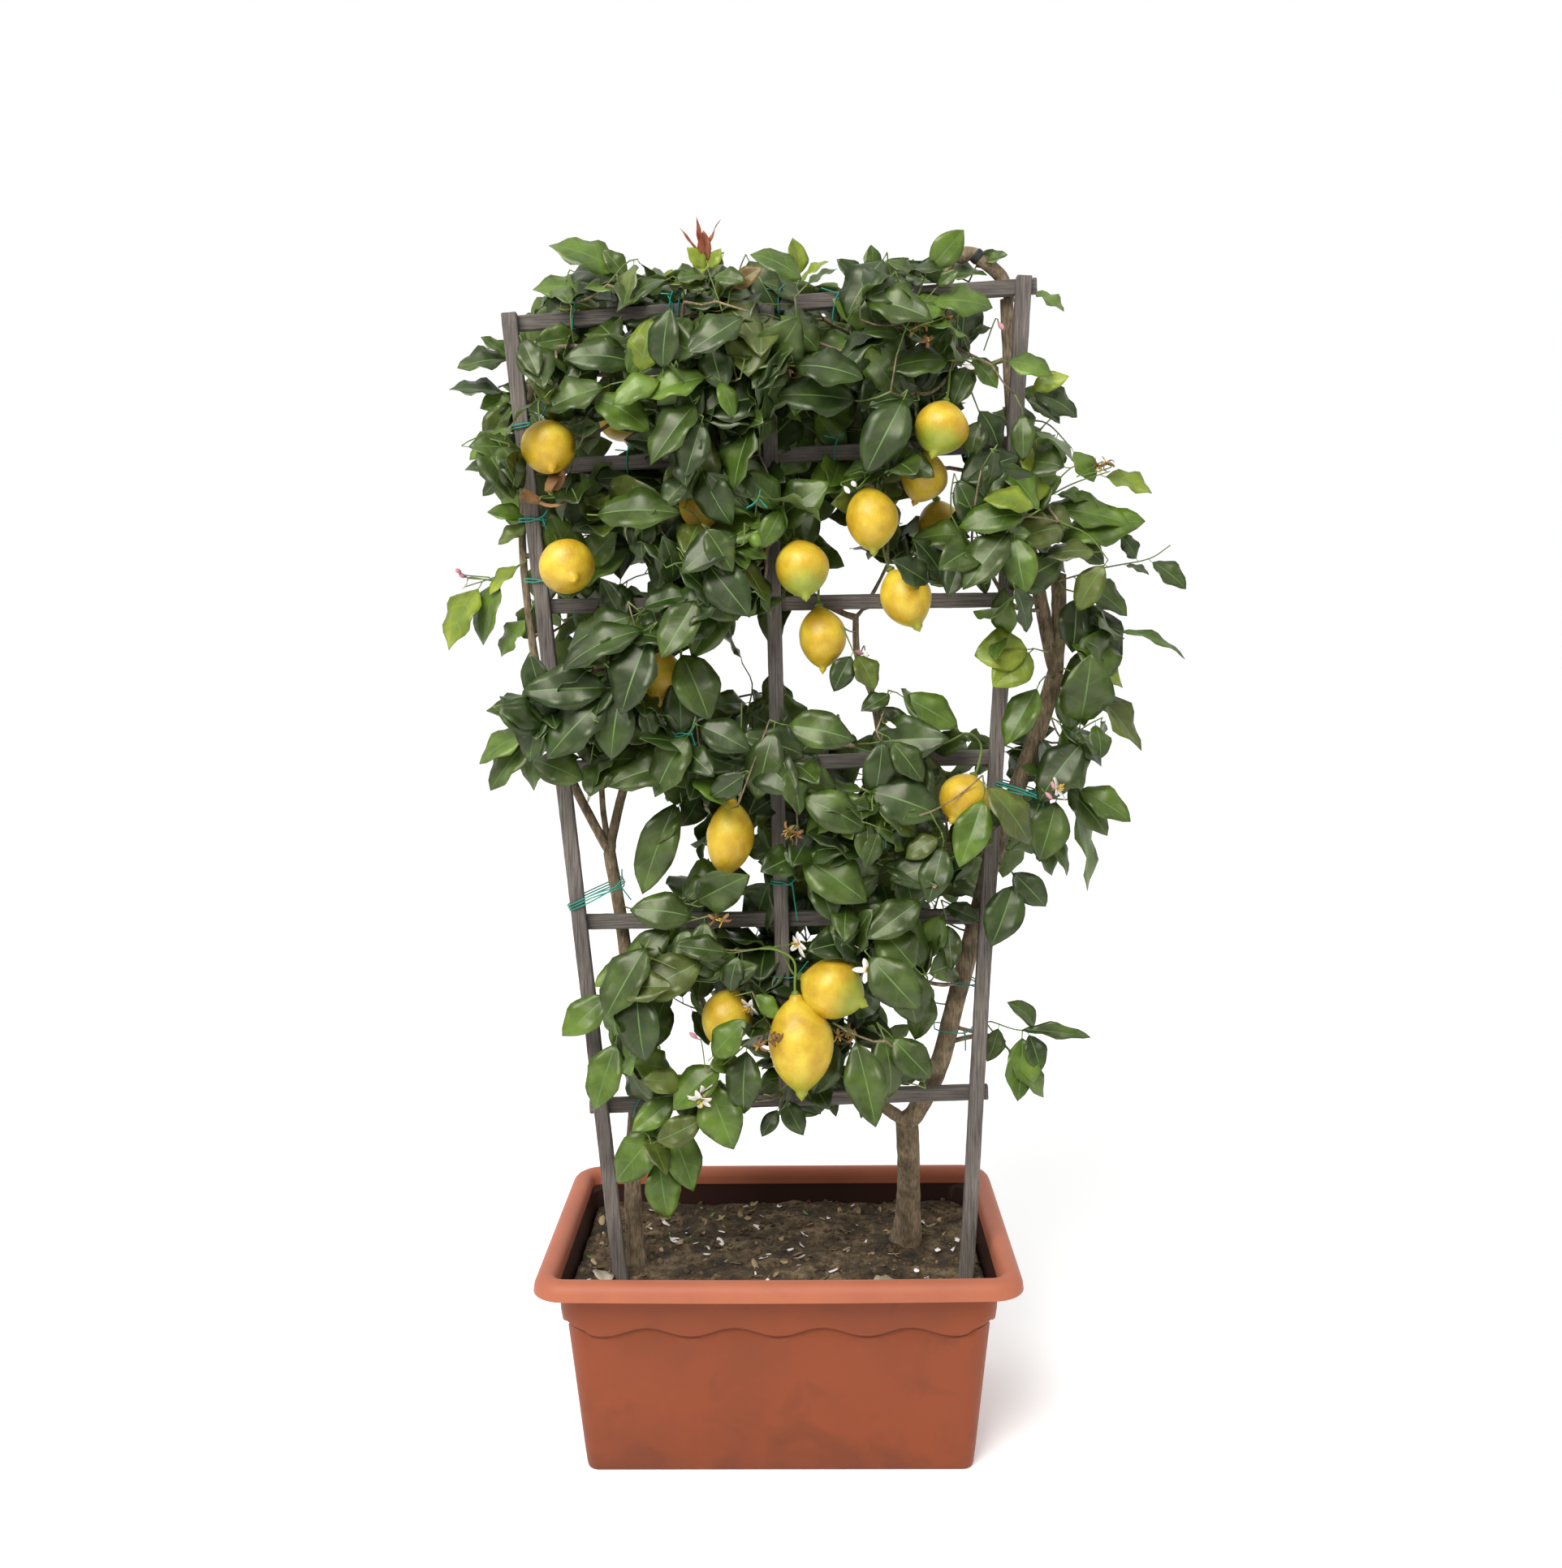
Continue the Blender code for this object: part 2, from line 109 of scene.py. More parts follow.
def new_finish(name, colour, roughness, ior=1.46, **constants):
    """A material with its shader's constants set; returns it with its node tree and shader."""
    finish = bpy.data.materials.new(name)
    finish.use_nodes = True
    shader = finish.node_tree.nodes["Principled BSDF"]
    shader.inputs["Base Color"].default_value = linear(colour)
    finish.diffuse_color = linear(colour)
    shader.inputs["Roughness"].default_value = roughness
    shader.inputs["IOR"].default_value = ior
    for socket, value in constants.items():
        shader.inputs[socket.replace("_", " ")].default_value = value
    return finish, finish.node_tree, shader


def dress(tree, shader, colour, height=None, strength=0.0, depth_mm=0.0):
    """Gives a shader its colour and, where there is a height, its fine relief."""
    tree.links.new(socket_of(colour), shader.inputs["Base Color"])
    if height is not None:
        relief = add_node(tree, "ShaderNodeBump", {"Height": height, "Strength": strength,
                                                   "Distance": depth_mm * MM})
        tree.links.new(relief.outputs["Normal"], shader.inputs["Normal"])


def new_piece(name, points, faces, finishes, slots=None):
    """A mesh object at the origin, smooth shaded, with a material for each face where slots says so."""
    mesh = bpy.data.meshes.new(name)
    mesh.from_pydata([tuple(map(float, p)) for p in points], [], [tuple(map(int, f)) for f in faces])
    for finish in finishes:
        mesh.materials.append(finish)
    if slots is not None:
        mesh.polygons.foreach_set("material_index", np.asarray(slots, dtype=np.int32))
    mesh.shade_smooth()
    piece = bpy.data.objects.new(name, mesh)
    bpy.context.scene.collection.objects.link(piece)
    return piece


def place(piece, slot, *nodes):
    """The three facts each piece gives: the body it rides on, its finish's slot, which is not used, and what
    it replaces.
    """
    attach(piece, "root")
    if nodes:
        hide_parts(*nodes)
    triangles = sum(len(face.vertices) - 2 for face in piece.data.polygons)
    print(f"{piece.name}: {triangles} triangles")
    return piece


# %% [markdown]
# The camera stands about two metres away at eye height and looks slightly down. Light comes from a white
# surround, which gives soft shadows from all sides, and from one large lamp above and to the left, which
# gives the fruit its highlight and the leaves their shine. A single small lamp would cut hard shadows.

# %% Camera, light and floor
EYE = (0.0331, -1.9140, 1.0805)
PITCH_DOWN, YAW_LEFT, ROLL = 0.1194, 0.0136, -0.0093
LENS_MM, SENSOR_MM = 34.47, 36.0
SURROUND, DIM_WALL = 1.0, 0.06
LAMP_AT, LAMP_SIZE, LAMP_WATTS = (-1.2, -2.6, 3.4), 2.2, 172.0
FLOOR_HALF, FLOOR_GLOW = 40.0, 0.08

look = Vector((-math.sin(YAW_LEFT) * math.cos(PITCH_DOWN),
               math.cos(YAW_LEFT) * math.cos(PITCH_DOWN),
               -math.sin(PITCH_DOWN)))
right = look.cross(Vector((0, 0, 1))).normalized()
up = right.cross(look)
rolled_right = math.cos(ROLL) * right + math.sin(ROLL) * up
rolled_up = math.cos(ROLL) * up - math.sin(ROLL) * right
camera = bpy.data.objects.new("camera", bpy.data.cameras.new("camera"))
camera.matrix_world = Matrix.Translation(EYE) @ Matrix((rolled_right, rolled_up, -look)).transposed().to_4x4()
camera.data.lens, camera.data.sensor_width = LENS_MM, SENSOR_MM
bpy.context.scene.collection.objects.link(camera)
bpy.context.scene.camera = camera
bpy.context.scene.view_settings.view_transform = "Standard"

world = bpy.data.worlds.new("white_surround")
world.use_nodes = True
sky_way = add_node(world.node_tree, "ShaderNodeSeparateXYZ",
                   {"Vector": add_node(world.node_tree, "ShaderNodeTexCoord").outputs["Generated"]})
towards = add_node(world.node_tree, "ShaderNodeMath",
                   {0: sky_way.outputs["Z"], 1: 0.9, 2: sky_way.outputs["Y"]}, operation="MULTIPLY_ADD")
wall = add_node(world.node_tree, "ShaderNodeMapRange",
                {"Value": towards, "From Min": -0.85, "From Max": -0.10, "To Min": DIM_WALL, "To Max": 1.0})
world.node_tree.links.new(wall.outputs["Result"], world.node_tree.nodes["Background"].inputs["Color"])
world.node_tree.nodes["Background"].inputs["Strength"].default_value = SURROUND
bpy.context.scene.world = world

lamp = bpy.data.objects.new("soft_lamp", bpy.data.lights.new("soft_lamp", "AREA"))
lamp.data.size, lamp.data.energy = LAMP_SIZE, LAMP_WATTS
lamp.location = LAMP_AT
lamp.rotation_euler = (Vector((0, 0, 0.8)) - Vector(LAMP_AT)).to_track_quat("-Z", "Y").to_euler()
bpy.context.scene.collection.objects.link(lamp)

floor_paint = new_finish("matt_white_floor", "#FCFCFB", 0.9,
                         Emission_Color=(1, 1, 1, 1), Emission_Strength=FLOOR_GLOW)[0]
studio_floor = new_piece(
    "studio_floor",
    [(x * FLOOR_HALF, y * FLOOR_HALF, 0) for x, y in ((-1, -1), (1, -1), (1, 1), (-1, 1))],
    [(0, 1, 2, 3)], [floor_paint])
studio_floor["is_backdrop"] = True
print("camera at", EYE, "lens", LENS_MM, "mm")

# %% [markdown]
# The planter is injection-moulded polypropylene in a terracotta colour. Such plastic is evenly coloured
# through, with a satin skin that picks up pale scuffs; patches that darken towards the ground are painted
# shade.
# The colour drifts by a few centimetres at a time, so its noise is scaled from millimetres, and scuffs are
# thin bright streaks. The rim's lighter colour is painted light, and the inside's near-black colour is
# painted shade.

# %% Terracotta plastic
PLASTIC_DRIFT_MM = 140.0
SCUFF_MM = 26.0
# Painted shade: noise patches of this size darken the plastic, more and more below this height.
PAINTED_SHADE_PATCH_MM, PAINTED_SHADE_HEIGHT = 60.0, 0.17
PLASTIC_GRAIN_MM = 2.2
WARM_SHEEN = (1.0, 0.88, 0.80, 1.0)


def terracotta_plastic(name, base, dusty, scuffed, painted_shade_colour):
    """Satin plastic: its colour drifts, scuffs are thin and pale, and painted shade darkens patches towards
    the ground.
    """
    finish, tree, shader = new_finish(name, base, 0.52, ior=1.42, Specular_Tint=WARM_SHEEN)
    where = add_node(tree, "ShaderNodeTexCoord").outputs["Object"]
    drift = add_node(tree, "ShaderNodeTexNoise", {
        "Vector": where, "Scale": 1 / (PLASTIC_DRIFT_MM * MM), "Detail": 5.0, "Roughness": 0.6})
    body = add_node(tree, "ShaderNodeValToRGB", {"Fac": drift}, stops=[(0.30, dusty), (0.62, base)])
    drawn = add_node(tree, "ShaderNodeMapping", {"Vector": where, "Scale": (0.35, 0.35, 1.0)})
    streaks = add_node(tree, "ShaderNodeTexNoise", {
        "Vector": drawn, "Scale": 1 / (SCUFF_MM * MM), "Detail": 8.0, "Roughness": 0.72, "Distortion": 1.6})
    scuffs = add_node(tree, "ShaderNodeValToRGB", {"Fac": streaks},
                      stops=[(0.655, "#000000"), (0.74, "#6A6A6A")])
    marked = add_node(tree, "ShaderNodeMix", {"Factor": scuffs, "A": body, "B": linear(scuffed)},
                      data_type="RGBA")
    # Painted shade: noise patches, lifted more the nearer the ground, mix in a darker colour towards the
    # bottom.
    patches = add_node(tree, "ShaderNodeTexNoise", {
        "Vector": where, "Scale": 1 / (PAINTED_SHADE_PATCH_MM * MM), "Detail": 3.0, "Distortion": 0.6})
    height = add_node(tree, "ShaderNodeSeparateXYZ", {"Vector": where}).outputs["Z"]
    low = add_node(tree, "ShaderNodeMapRange", {
        "Value": height, "From Min": PAINTED_SHADE_HEIGHT, "From Max": 0.0, "To Min": 0.0, "To Max": 0.20})
    painted_shade_amount = add_node(tree, "ShaderNodeMath", {0: patches, 1: low})
    painted_shade_mask = add_node(tree, "ShaderNodeValToRGB", {"Fac": painted_shade_amount}, stops=[(0.60, "#000000"), (0.80, "#B0B0B0")])
    colour = add_node(tree, "ShaderNodeMix", {"Factor": painted_shade_mask, "A": marked, "B": linear(painted_shade_colour)},
                      data_type="RGBA")
    gloss = add_node(tree, "ShaderNodeMapRange", {"Value": drift, "To Min": 0.44, "To Max": 0.62})
    tree.links.new(gloss.outputs["Result"], shader.inputs["Roughness"])
    grain = add_node(tree, "ShaderNodeTexNoise", {
        "Vector": where, "Scale": 1 / (PLASTIC_GRAIN_MM * MM), "Detail": 2.0})
    dress(tree, shader, colour, grain, 0.10, 0.3)
    return finish


planter_body = terracotta_plastic("terracotta_polypropylene", "#833D1D", "#75361C", "#A86548", "#5E2F1A")
# Painted light: the rim is given a lighter colour than the body, standing in for the light on its top.
planter_rim_painted_light = terracotta_plastic("sun_bleached_polypropylene", "#A76045", "#9C573F", "#CB967F", "#8F523C")
# Painted shade: the inside is given a near-black colour, standing in for the shade within the planter.
planter_inside_painted_shade = terracotta_plastic("shaded_polypropylene", "#2C0E05", "#260D05", "#40190E", "#1C0B05")
print("plastic:", planter_body.name, planter_rim_painted_light.name, planter_inside_painted_shade.name)

# %% [markdown]
# The planter's wall is one skin drawn upwards from its foot: it leans out, steps out to a band with
# a wavy lower edge, rolls over a soft rim and runs back down inside. It could be built from boxes and
# bevels, but the wave and the rolled rim are easier as a loft: rounded rectangles of many points, one
# for each height, joined ring to ring.

# %% Loft the planter
PLANTER_LOW, PLANTER_HIGH = (np.array(corner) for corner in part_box("planter"))
RIM_HALF = (PLANTER_HIGH - PLANTER_LOW)[:2] / 2
HEIGHT = PLANTER_HIGH[2]
BASE_HALF = np.array((0.244, 0.145))
WALL_FLARE, BAND_STAND = 0.018, 0.0065
BAND_FOOT, WAVE_LENGTH, WAVE_DEPTH = 0.194, 0.108, 0.0055
WALL, RIM_WIDTH, RIM_HEIGHT = 0.0035, 0.029, 0.025
CORNER_POINTS, SIDE_POINTS = 12, 60


def rounded_rectangle(half, corner):
    """Points round a rectangle, anticlockwise from the right of its front."""
    centre = np.asarray(half) - corner
    signs = ((1, -1), (1, 1), (-1, 1), (-1, -1))
    ring = []
    for turn, sign in enumerate(signs):
        for step in range(CORNER_POINTS + 1):
            angle = math.pi / 2 * (turn - 1 + step / CORNER_POINTS)
            ring.append(sign * centre + corner * np.array((math.cos(angle), math.sin(angle))))
        angle = math.pi / 2 * turn
        last = signs[(turn + 1) % 4] * centre + corner * np.array((math.cos(angle), math.sin(angle)))
        ring += [ring[-1] + (last - ring[-1]) * step / SIDE_POINTS for step in range(1, SIDE_POINTS)]
    return np.array(ring)


def wave(points):
    """Height of the band's lower edge: a gentle wave along each side, running up at the corners."""
    on_long_side = np.abs(points[:, 1]) / BASE_HALF[1] > np.abs(points[:, 0]) / BASE_HALF[0]
    along = np.where(on_long_side, points[:, 0], points[:, 1])
    reach = np.where(on_long_side, BASE_HALF[0], BASE_HALF[1])
    lift = np.clip((np.abs(along) / reach - 0.94) / 0.12, 0, 1) * 0.010
    return -WAVE_DEPTH * np.cos(2 * math.pi * along / WAVE_LENGTH) * (lift < 0.002) + lift


def planter_sections():
    """(half size, corner, height, share of the wave, finish) of each ring, from foot to inner floor."""
    top_wall = BASE_HALF + WALL_FLARE
    band = top_wall + BAND_STAND
    rings = [(BASE_HALF - 0.012, 0.010, 0.0012, 0, 0), (BASE_HALF - 0.004, 0.013, 0.0, 0, 0),
             (BASE_HALF - 0.001, 0.015, 0.0016, 0, 0), (BASE_HALF, 0.016, 0.005, 0, 0)]
    rings += [(BASE_HALF + WALL_FLARE * share, 0.016 + 0.008 * share, BAND_FOOT * share, 0, 0)
              for share in (0.12, 0.3, 0.5, 0.7, 0.84)]
    rings += [(top_wall, 0.024, BAND_FOOT - 0.0050, 1, 0),
              (top_wall - 0.0016, 0.023, BAND_FOOT - 0.0022, 1, 0),
              (top_wall - 0.0014, 0.023, BAND_FOOT - 0.0004, 1, 0), (band - 0.0024, 0.027, BAND_FOOT, 1, 0),
              (band - 0.0006, 0.028, BAND_FOOT + 0.0016, 1, 0),
              (band, 0.028, BAND_FOOT + 0.004, 1, 0), (band + 0.0016, 0.029, BAND_FOOT + 0.020, 0.35, 0),
              (band + 0.003, 0.030, HEIGHT - RIM_HEIGHT - 0.0005, 0, 0),
              (RIM_HALF - 0.012, 0.036, HEIGHT - RIM_HEIGHT, 0, 1)]
    # From the last ring above, the rim takes finish 1, whose lighter colour is painted light.
    roll = RIM_WIDTH / 2
    for step in range(11):
        angle = math.pi * (step / 10)
        out = roll * math.cos(angle)
        rise = (RIM_HEIGHT - 0.004) * math.sin(angle) ** 0.75
        lean = 0.0015 * math.sin(angle)
        level = HEIGHT - RIM_HEIGHT + 0.004 + rise
        rings.append((RIM_HALF - roll + out - lean, 0.040 - roll + out, level, 0, 1))
    # The inner rings take finish 2, whose near-black colour is painted shade.
    inner = RIM_HALF - RIM_WIDTH
    rings += [(inner - 0.001, 0.030, HEIGHT - 0.026, 0, 2), (inner - 0.004, 0.030, HEIGHT - 0.045, 0, 2),
              (top_wall - 0.0055, 0.022, BAND_FOOT - 0.012, 0, 2), (BASE_HALF + 0.004, 0.020, 0.100, 0, 2),
              (BASE_HALF - WALL - 0.004, 0.014, 0.007, 0, 2)]
    return rings


def loft(rings):
    """Joins rings of equal count with quads and closes both ends with fans."""
    points, faces, slots = [], [], []
    count = len(rings[0][0])
    for ring, _ in rings:
        points.extend(ring)
    for level in range(len(rings) - 1):
        low, high = level * count, (level + 1) * count
        for i in range(count):
            j = (i + 1) % count
            faces.append((low + i, low + j, high + j, high + i))
            slots.append(rings[level + 1][1])
    for level, flip in ((0, True), (len(rings) - 1, False)):
        ring = np.array(rings[level][0])
        points.append(ring.mean(axis=0))
        hub, start = len(points) - 1, level * count
        for i in range(count):
            j = (i + 1) % count
            faces.append((hub, start + j, start + i) if flip else (hub, start + i, start + j))
            slots.append(rings[level][1])
    return points, faces, slots


def planter_rings():
    """Each section as points in place: the wall bows a little and the front rim sags."""
    for half, corner, height, share, slot in planter_sections():
        flat = rounded_rectangle(half, max(corner, 0.006))
        bow = 1 - 0.006 * math.sin(math.pi * min(height, BAND_FOOT) / BAND_FOOT)
        heights = height + share * wave(flat)
        sag = 0.0022 * (height > BAND_FOOT + 0.01) * np.cos(math.pi * flat[:, 0] / (2 * RIM_HALF[0]))
        heights = heights - sag * (flat[:, 1] < 0)
        yield np.column_stack((flat * (1.0, bow), heights)), slot


points, faces, slots = loft(list(planter_rings()))
planter = new_piece("planter_shell", points, faces, [planter_body, planter_rim_painted_light, planter_inside_painted_shade], slots)
planter.data.set_sharp_from_angle(angle=math.radians(38))
place(planter, "planter_plastic", "planter")

# %% [markdown]
# Potting soil is peat and bark fines: nearly black when damp, with paler dry crumbs on top. Its surface
# is uneven. Noise moves the points of a fine mesh, because a bump map alone would leave the soil's edge
# against the planter dead straight.

# %% Potting soil
SOIL_LOW, SOIL_HIGH = (np.array(corner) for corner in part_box("soil"))
SOIL_RINGS = 46
CLOD_MM, CRUMB_MM = 34, 5
SOIL_RELIEF = ((0.11, 0.0050), (0.034, 0.0046), (0.012, 0.0026))  # size across, height


def potting_soil():
    """Dark clods with paler dry crumbs between them."""
    finish, tree, shader = new_finish("damp_potting_soil", "#3E3322", 0.95)
    where = add_node(tree, "ShaderNodeTexCoord").outputs["Object"]
    clods = add_node(tree, "ShaderNodeTexNoise", {
        "Vector": where, "Scale": 1 / (CLOD_MM * MM), "Detail": 8.0, "Roughness": 0.68})
    crumbs = add_node(tree, "ShaderNodeTexVoronoi", {"Vector": where, "Scale": 1 / (CRUMB_MM * MM)})
    tone = add_node(tree, "ShaderNodeValToRGB", {"Fac": clods},
                    stops=[(0.34, "#1A130B"), (0.50, "#43351F"), (0.64, "#74624A")])
    specks = add_node(tree, "ShaderNodeValToRGB", {"Fac": crumbs},
                      stops=[(0.0, "#C9BFAE"), (0.75, "#FFFFFF")])
    colour = add_node(tree, "ShaderNodeMix", {"Factor": 1.0, "A": tone, "B": specks},
                      data_type="RGBA", blend_type="MULTIPLY")
    dress(tree, shader, colour, crumbs, 0.8, 2.2)
    return finish


def soil_height(x, y):
    """The soil's surface: clods a few centimetres across and small crumbs."""
    rough = sum(depth * noise.noise(Vector((x / size, y / size, 3.7))) for size, depth in SOIL_RELIEF)
    return SOIL_HIGH[2] - 0.001 + rough


soil_finish = potting_soil()
soil_half = (SOIL_HIGH - SOIL_LOW)[:2] / 2 + 0.0015
bottom = rounded_rectangle(soil_half - 0.02, 0.02)
rings = [(np.column_stack((bottom, np.full(len(bottom), SOIL_HIGH[2] - 0.03))), 0)]
for ring in range(SOIL_RINGS):
    flat = rounded_rectangle(soil_half, 0.024) * (1 - ring / SOIL_RINGS)
    rings.append((np.array([(x, y, soil_height(x, y)) for x, y in flat]), 0))
points, faces, _ = loft(rings)
points[-1] = (0.0, 0.0, soil_height(0.0, 0.0))
soil = place(new_piece("soil_surface", points, faces, [soil_finish]), "potting_soil", "soil")

# %% [markdown]
# Battens and limbs are both long things, so one helper finds the middle line and size of either: it
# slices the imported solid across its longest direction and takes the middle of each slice. The new piece
# then lies exactly where the plain one does. Copying the points by hand would break if the model changed.

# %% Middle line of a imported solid


def middle_line(node, slices, near=None):
    """Middles and radii of slices across a node's longest direction, from the end nearest to a place."""
    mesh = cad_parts[node].data
    points = np.array([v.co for v in mesh.vertices], dtype=float)
    edges = np.array([e.vertices for e in mesh.edges])
    centre = points.mean(axis=0)
    way = np.linalg.svd(points - centre, full_matrices=False)[2][0]
    reach = (points - centre) @ way
    if near is not None:
        ends = points[[reach.argmin(), reach.argmax()]]
        if np.linalg.norm(ends[0] - near) > np.linalg.norm(ends[1] - near):
            way, reach = -way, -reach
    elif way[2] < 0:
        way, reach = -way, -reach
    low, high = reach.min(), reach.max()
    middles, sizes = [], []
    for share in np.linspace(0.04, 0.96, slices):
        level = low + share * (high - low)
        a, b = reach[edges[:, 0]], reach[edges[:, 1]]
        crossing = (a < level) != (b < level)
        part = ((level - a[crossing]) / (b[crossing] - a[crossing]))[:, None]
        cut = points[edges[crossing, 0]] * (1 - part) + points[edges[crossing, 1]] * part
        middles.append((cut.max(axis=0) + cut.min(axis=0)) / 2)
        sizes.append(cut)
    middles = np.array(middles)
    along = np.gradient(middles, axis=0)
    along /= np.linalg.norm(along, axis=1)[:, None]
    radii = []
    for middle, direction, cut in zip(middles, along, sizes):
        out = cut - middle
        out -= np.outer(out @ direction, direction)
        radii.append(float(np.median(np.linalg.norm(out, axis=1))))
    first = middles[0] - along[0] * (0.04 * (high - low)) / max(along[0] @ way, 0.3)
    last = middles[-1] + along[-1] * (0.04 * (high - low)) / max(along[-1] @ way, 0.3)
    middles = np.vstack((first, middles, last))
    return middles, np.array([radii[0], *radii, radii[-1]])


def resample(path, spacing):
    """A path's points at even steps, and how far along the old path each is, from 0 to its last index."""
    path = np.asarray(path, dtype=float)
    lengths = np.concatenate(([0.0], np.cumsum(np.linalg.norm(np.diff(path, axis=0), axis=1))))
    wanted = np.linspace(0, lengths[-1], max(3, int(lengths[-1] / spacing) + 1))
    index = np.interp(wanted, lengths, np.arange(len(path)))
    return np.column_stack([np.interp(wanted, lengths, path[:, k]) for k in range(3)]), index


def smooth_line(points, spacing):
    """A Catmull-Rom curve through the points, at even steps."""
    points = [Vector(p) for p in points]
    ends = [points[0] * 2 - points[1], *points, points[-1] * 2 - points[-2]]
    fine = []
    for a, b, c, d in zip(ends, ends[1:], ends[2:], ends[3:]):
        for step in range(8):
            t = step / 8
            fine.append(0.5 * (2 * b + (c - a) * t + (2 * a - 5 * b + 4 * c - d) * t**2
                               + (3 * b - a - 3 * c + d) * t**3))
    fine.append(points[-1])
    return resample(fine, spacing)


def tube_faces(rings, sides):
    """Faces of a closed tube whose points are one end, then its rings, then the other end."""
    faces, last = [], 1 + rings * sides
    for k in range(sides):
        n = (k + 1) % sides
        faces.append((0, 1 + n, 1 + k))
        for a in range(1, last - sides, sides):
            faces.append((a + k, a + n, a + sides + n, a + sides + k))
        faces.append((last, last - sides + k, last - sides + n))
    return faces


def sweep(path, radii, sides, relief=None, squash=0.35):
    """A tube along a path with closed, slightly domed ends. relief(i, angle) scales its radius."""
    path, radii = np.asarray(path, dtype=float), np.asarray(radii, dtype=float)
    along = np.gradient(path, axis=0)
    along /= np.linalg.norm(along, axis=1)[:, None]
    side = np.cross(along[0], (0.31, 0.87, 0.38))
    side /= np.linalg.norm(side)
    angles = np.linspace(0, 2 * math.pi, sides, endpoint=False)
    points = [path[0] - along[0] * radii[0] * squash]
    for i, (middle, direction, radius) in enumerate(zip(path, along, radii)):
        side = side - direction * (side @ direction)
        side /= np.linalg.norm(side)
        other = np.cross(direction, side)
        reach = radius * (relief(i, angles) if relief else np.ones(sides))
        round_it = np.outer(reach * np.cos(angles), side) + np.outer(reach * np.sin(angles), other)
        points.extend(middle + round_it)
    points.append(path[-1] + along[-1] * radii[-1] * squash)
    return points, tube_faces(len(path), sides)


def gather(shapes):
    """Joins (points, faces) pairs into one pair."""
    points, faces, start = [], [], 0
    for some_points, some_faces in shapes:
        points.extend(some_points)
        faces.extend(tuple(i + start for i in face) for face in some_faces)
        start += len(some_points)
    return points, faces


print("left stem's middle line:", middle_line("stem_left", 5)[0].round(3).tolist())

# %% [markdown]
# The trellis is sawn softwood left outdoors: rain and sun turn it silver grey, the soft grain wears away
# and leaves fine dark lines, and its corners soften. The grain is noise stretched along the batten, so
# uprights and rails have a finish each. A batten is a loft of a chamfered section, and noise nudges its
# points, which gives the worn corners.

# %% Weathered timber
GRAIN_MM, TIMBER_PATCH_MM = 1.6, 70
BATTEN_WIDE, BATTEN_DEEP, BATTEN_BEVEL = 18 * MM, 12.5 * MM, 1.2 * MM
WEAR = 0.35 * MM
STAKE_IN_SOIL = 0.030


def streaked(name, base, roughness, squeeze, grain, lines, patch, tints, relief):
    """Wood or bark: fine dark lines drawn out lengthwise, over slow patches, with relief along the lines."""
    finish, tree, shader = new_finish(name, base, roughness)
    where = add_node(tree, "ShaderNodeTexCoord").outputs["Object"]
    drawn = add_node(tree, "ShaderNodeMapping", {"Vector": where, "Scale": squeeze})
    streaks, patches = (
        add_node(tree, "ShaderNodeTexNoise", {"Vector": start, "Scale": 1 / (size_mm * MM), **look})
        for start, (size_mm, look) in ((drawn, grain), (where, patch)))
    dark_lines = add_node(tree, "ShaderNodeValToRGB", {"Fac": streaks}, stops=lines)
    tint = add_node(tree, "ShaderNodeValToRGB", {"Fac": patches}, stops=tints)
    colour = add_node(tree, "ShaderNodeMix", {"Factor": 1.0, "A": dark_lines, "B": tint},
                      data_type="RGBA", blend_type="MULTIPLY")
    dress(tree, shader, colour, streaks, *relief)
    return finish


def weathered_timber(name, lengthwise):
    """Silvered softwood, its grain drawn out along x, or along z for the uprights."""
    squeeze = [1.0, 1.0, 1.0]
    squeeze[lengthwise] = 0.030
    return streaked(
        name, "#6F6862", 0.88, squeeze, (GRAIN_MM, {"Detail": 4.0, "Roughness": 0.62, "Distortion": 0.4}),
        ((0.28, "#37322E"), (0.44, "#5C5650"), (0.66, "#7A746D")), (TIMBER_PATCH_MM, {"Detail": 3.0}),
        ((0.35, "#DAD6D6"), (0.65, "#FFFCFA")), (0.55, 0.5))


upright_timber = weathered_timber("weathered_softwood_upright", 2)
rail_timber = weathered_timber("weathered_softwood_rail", 0)


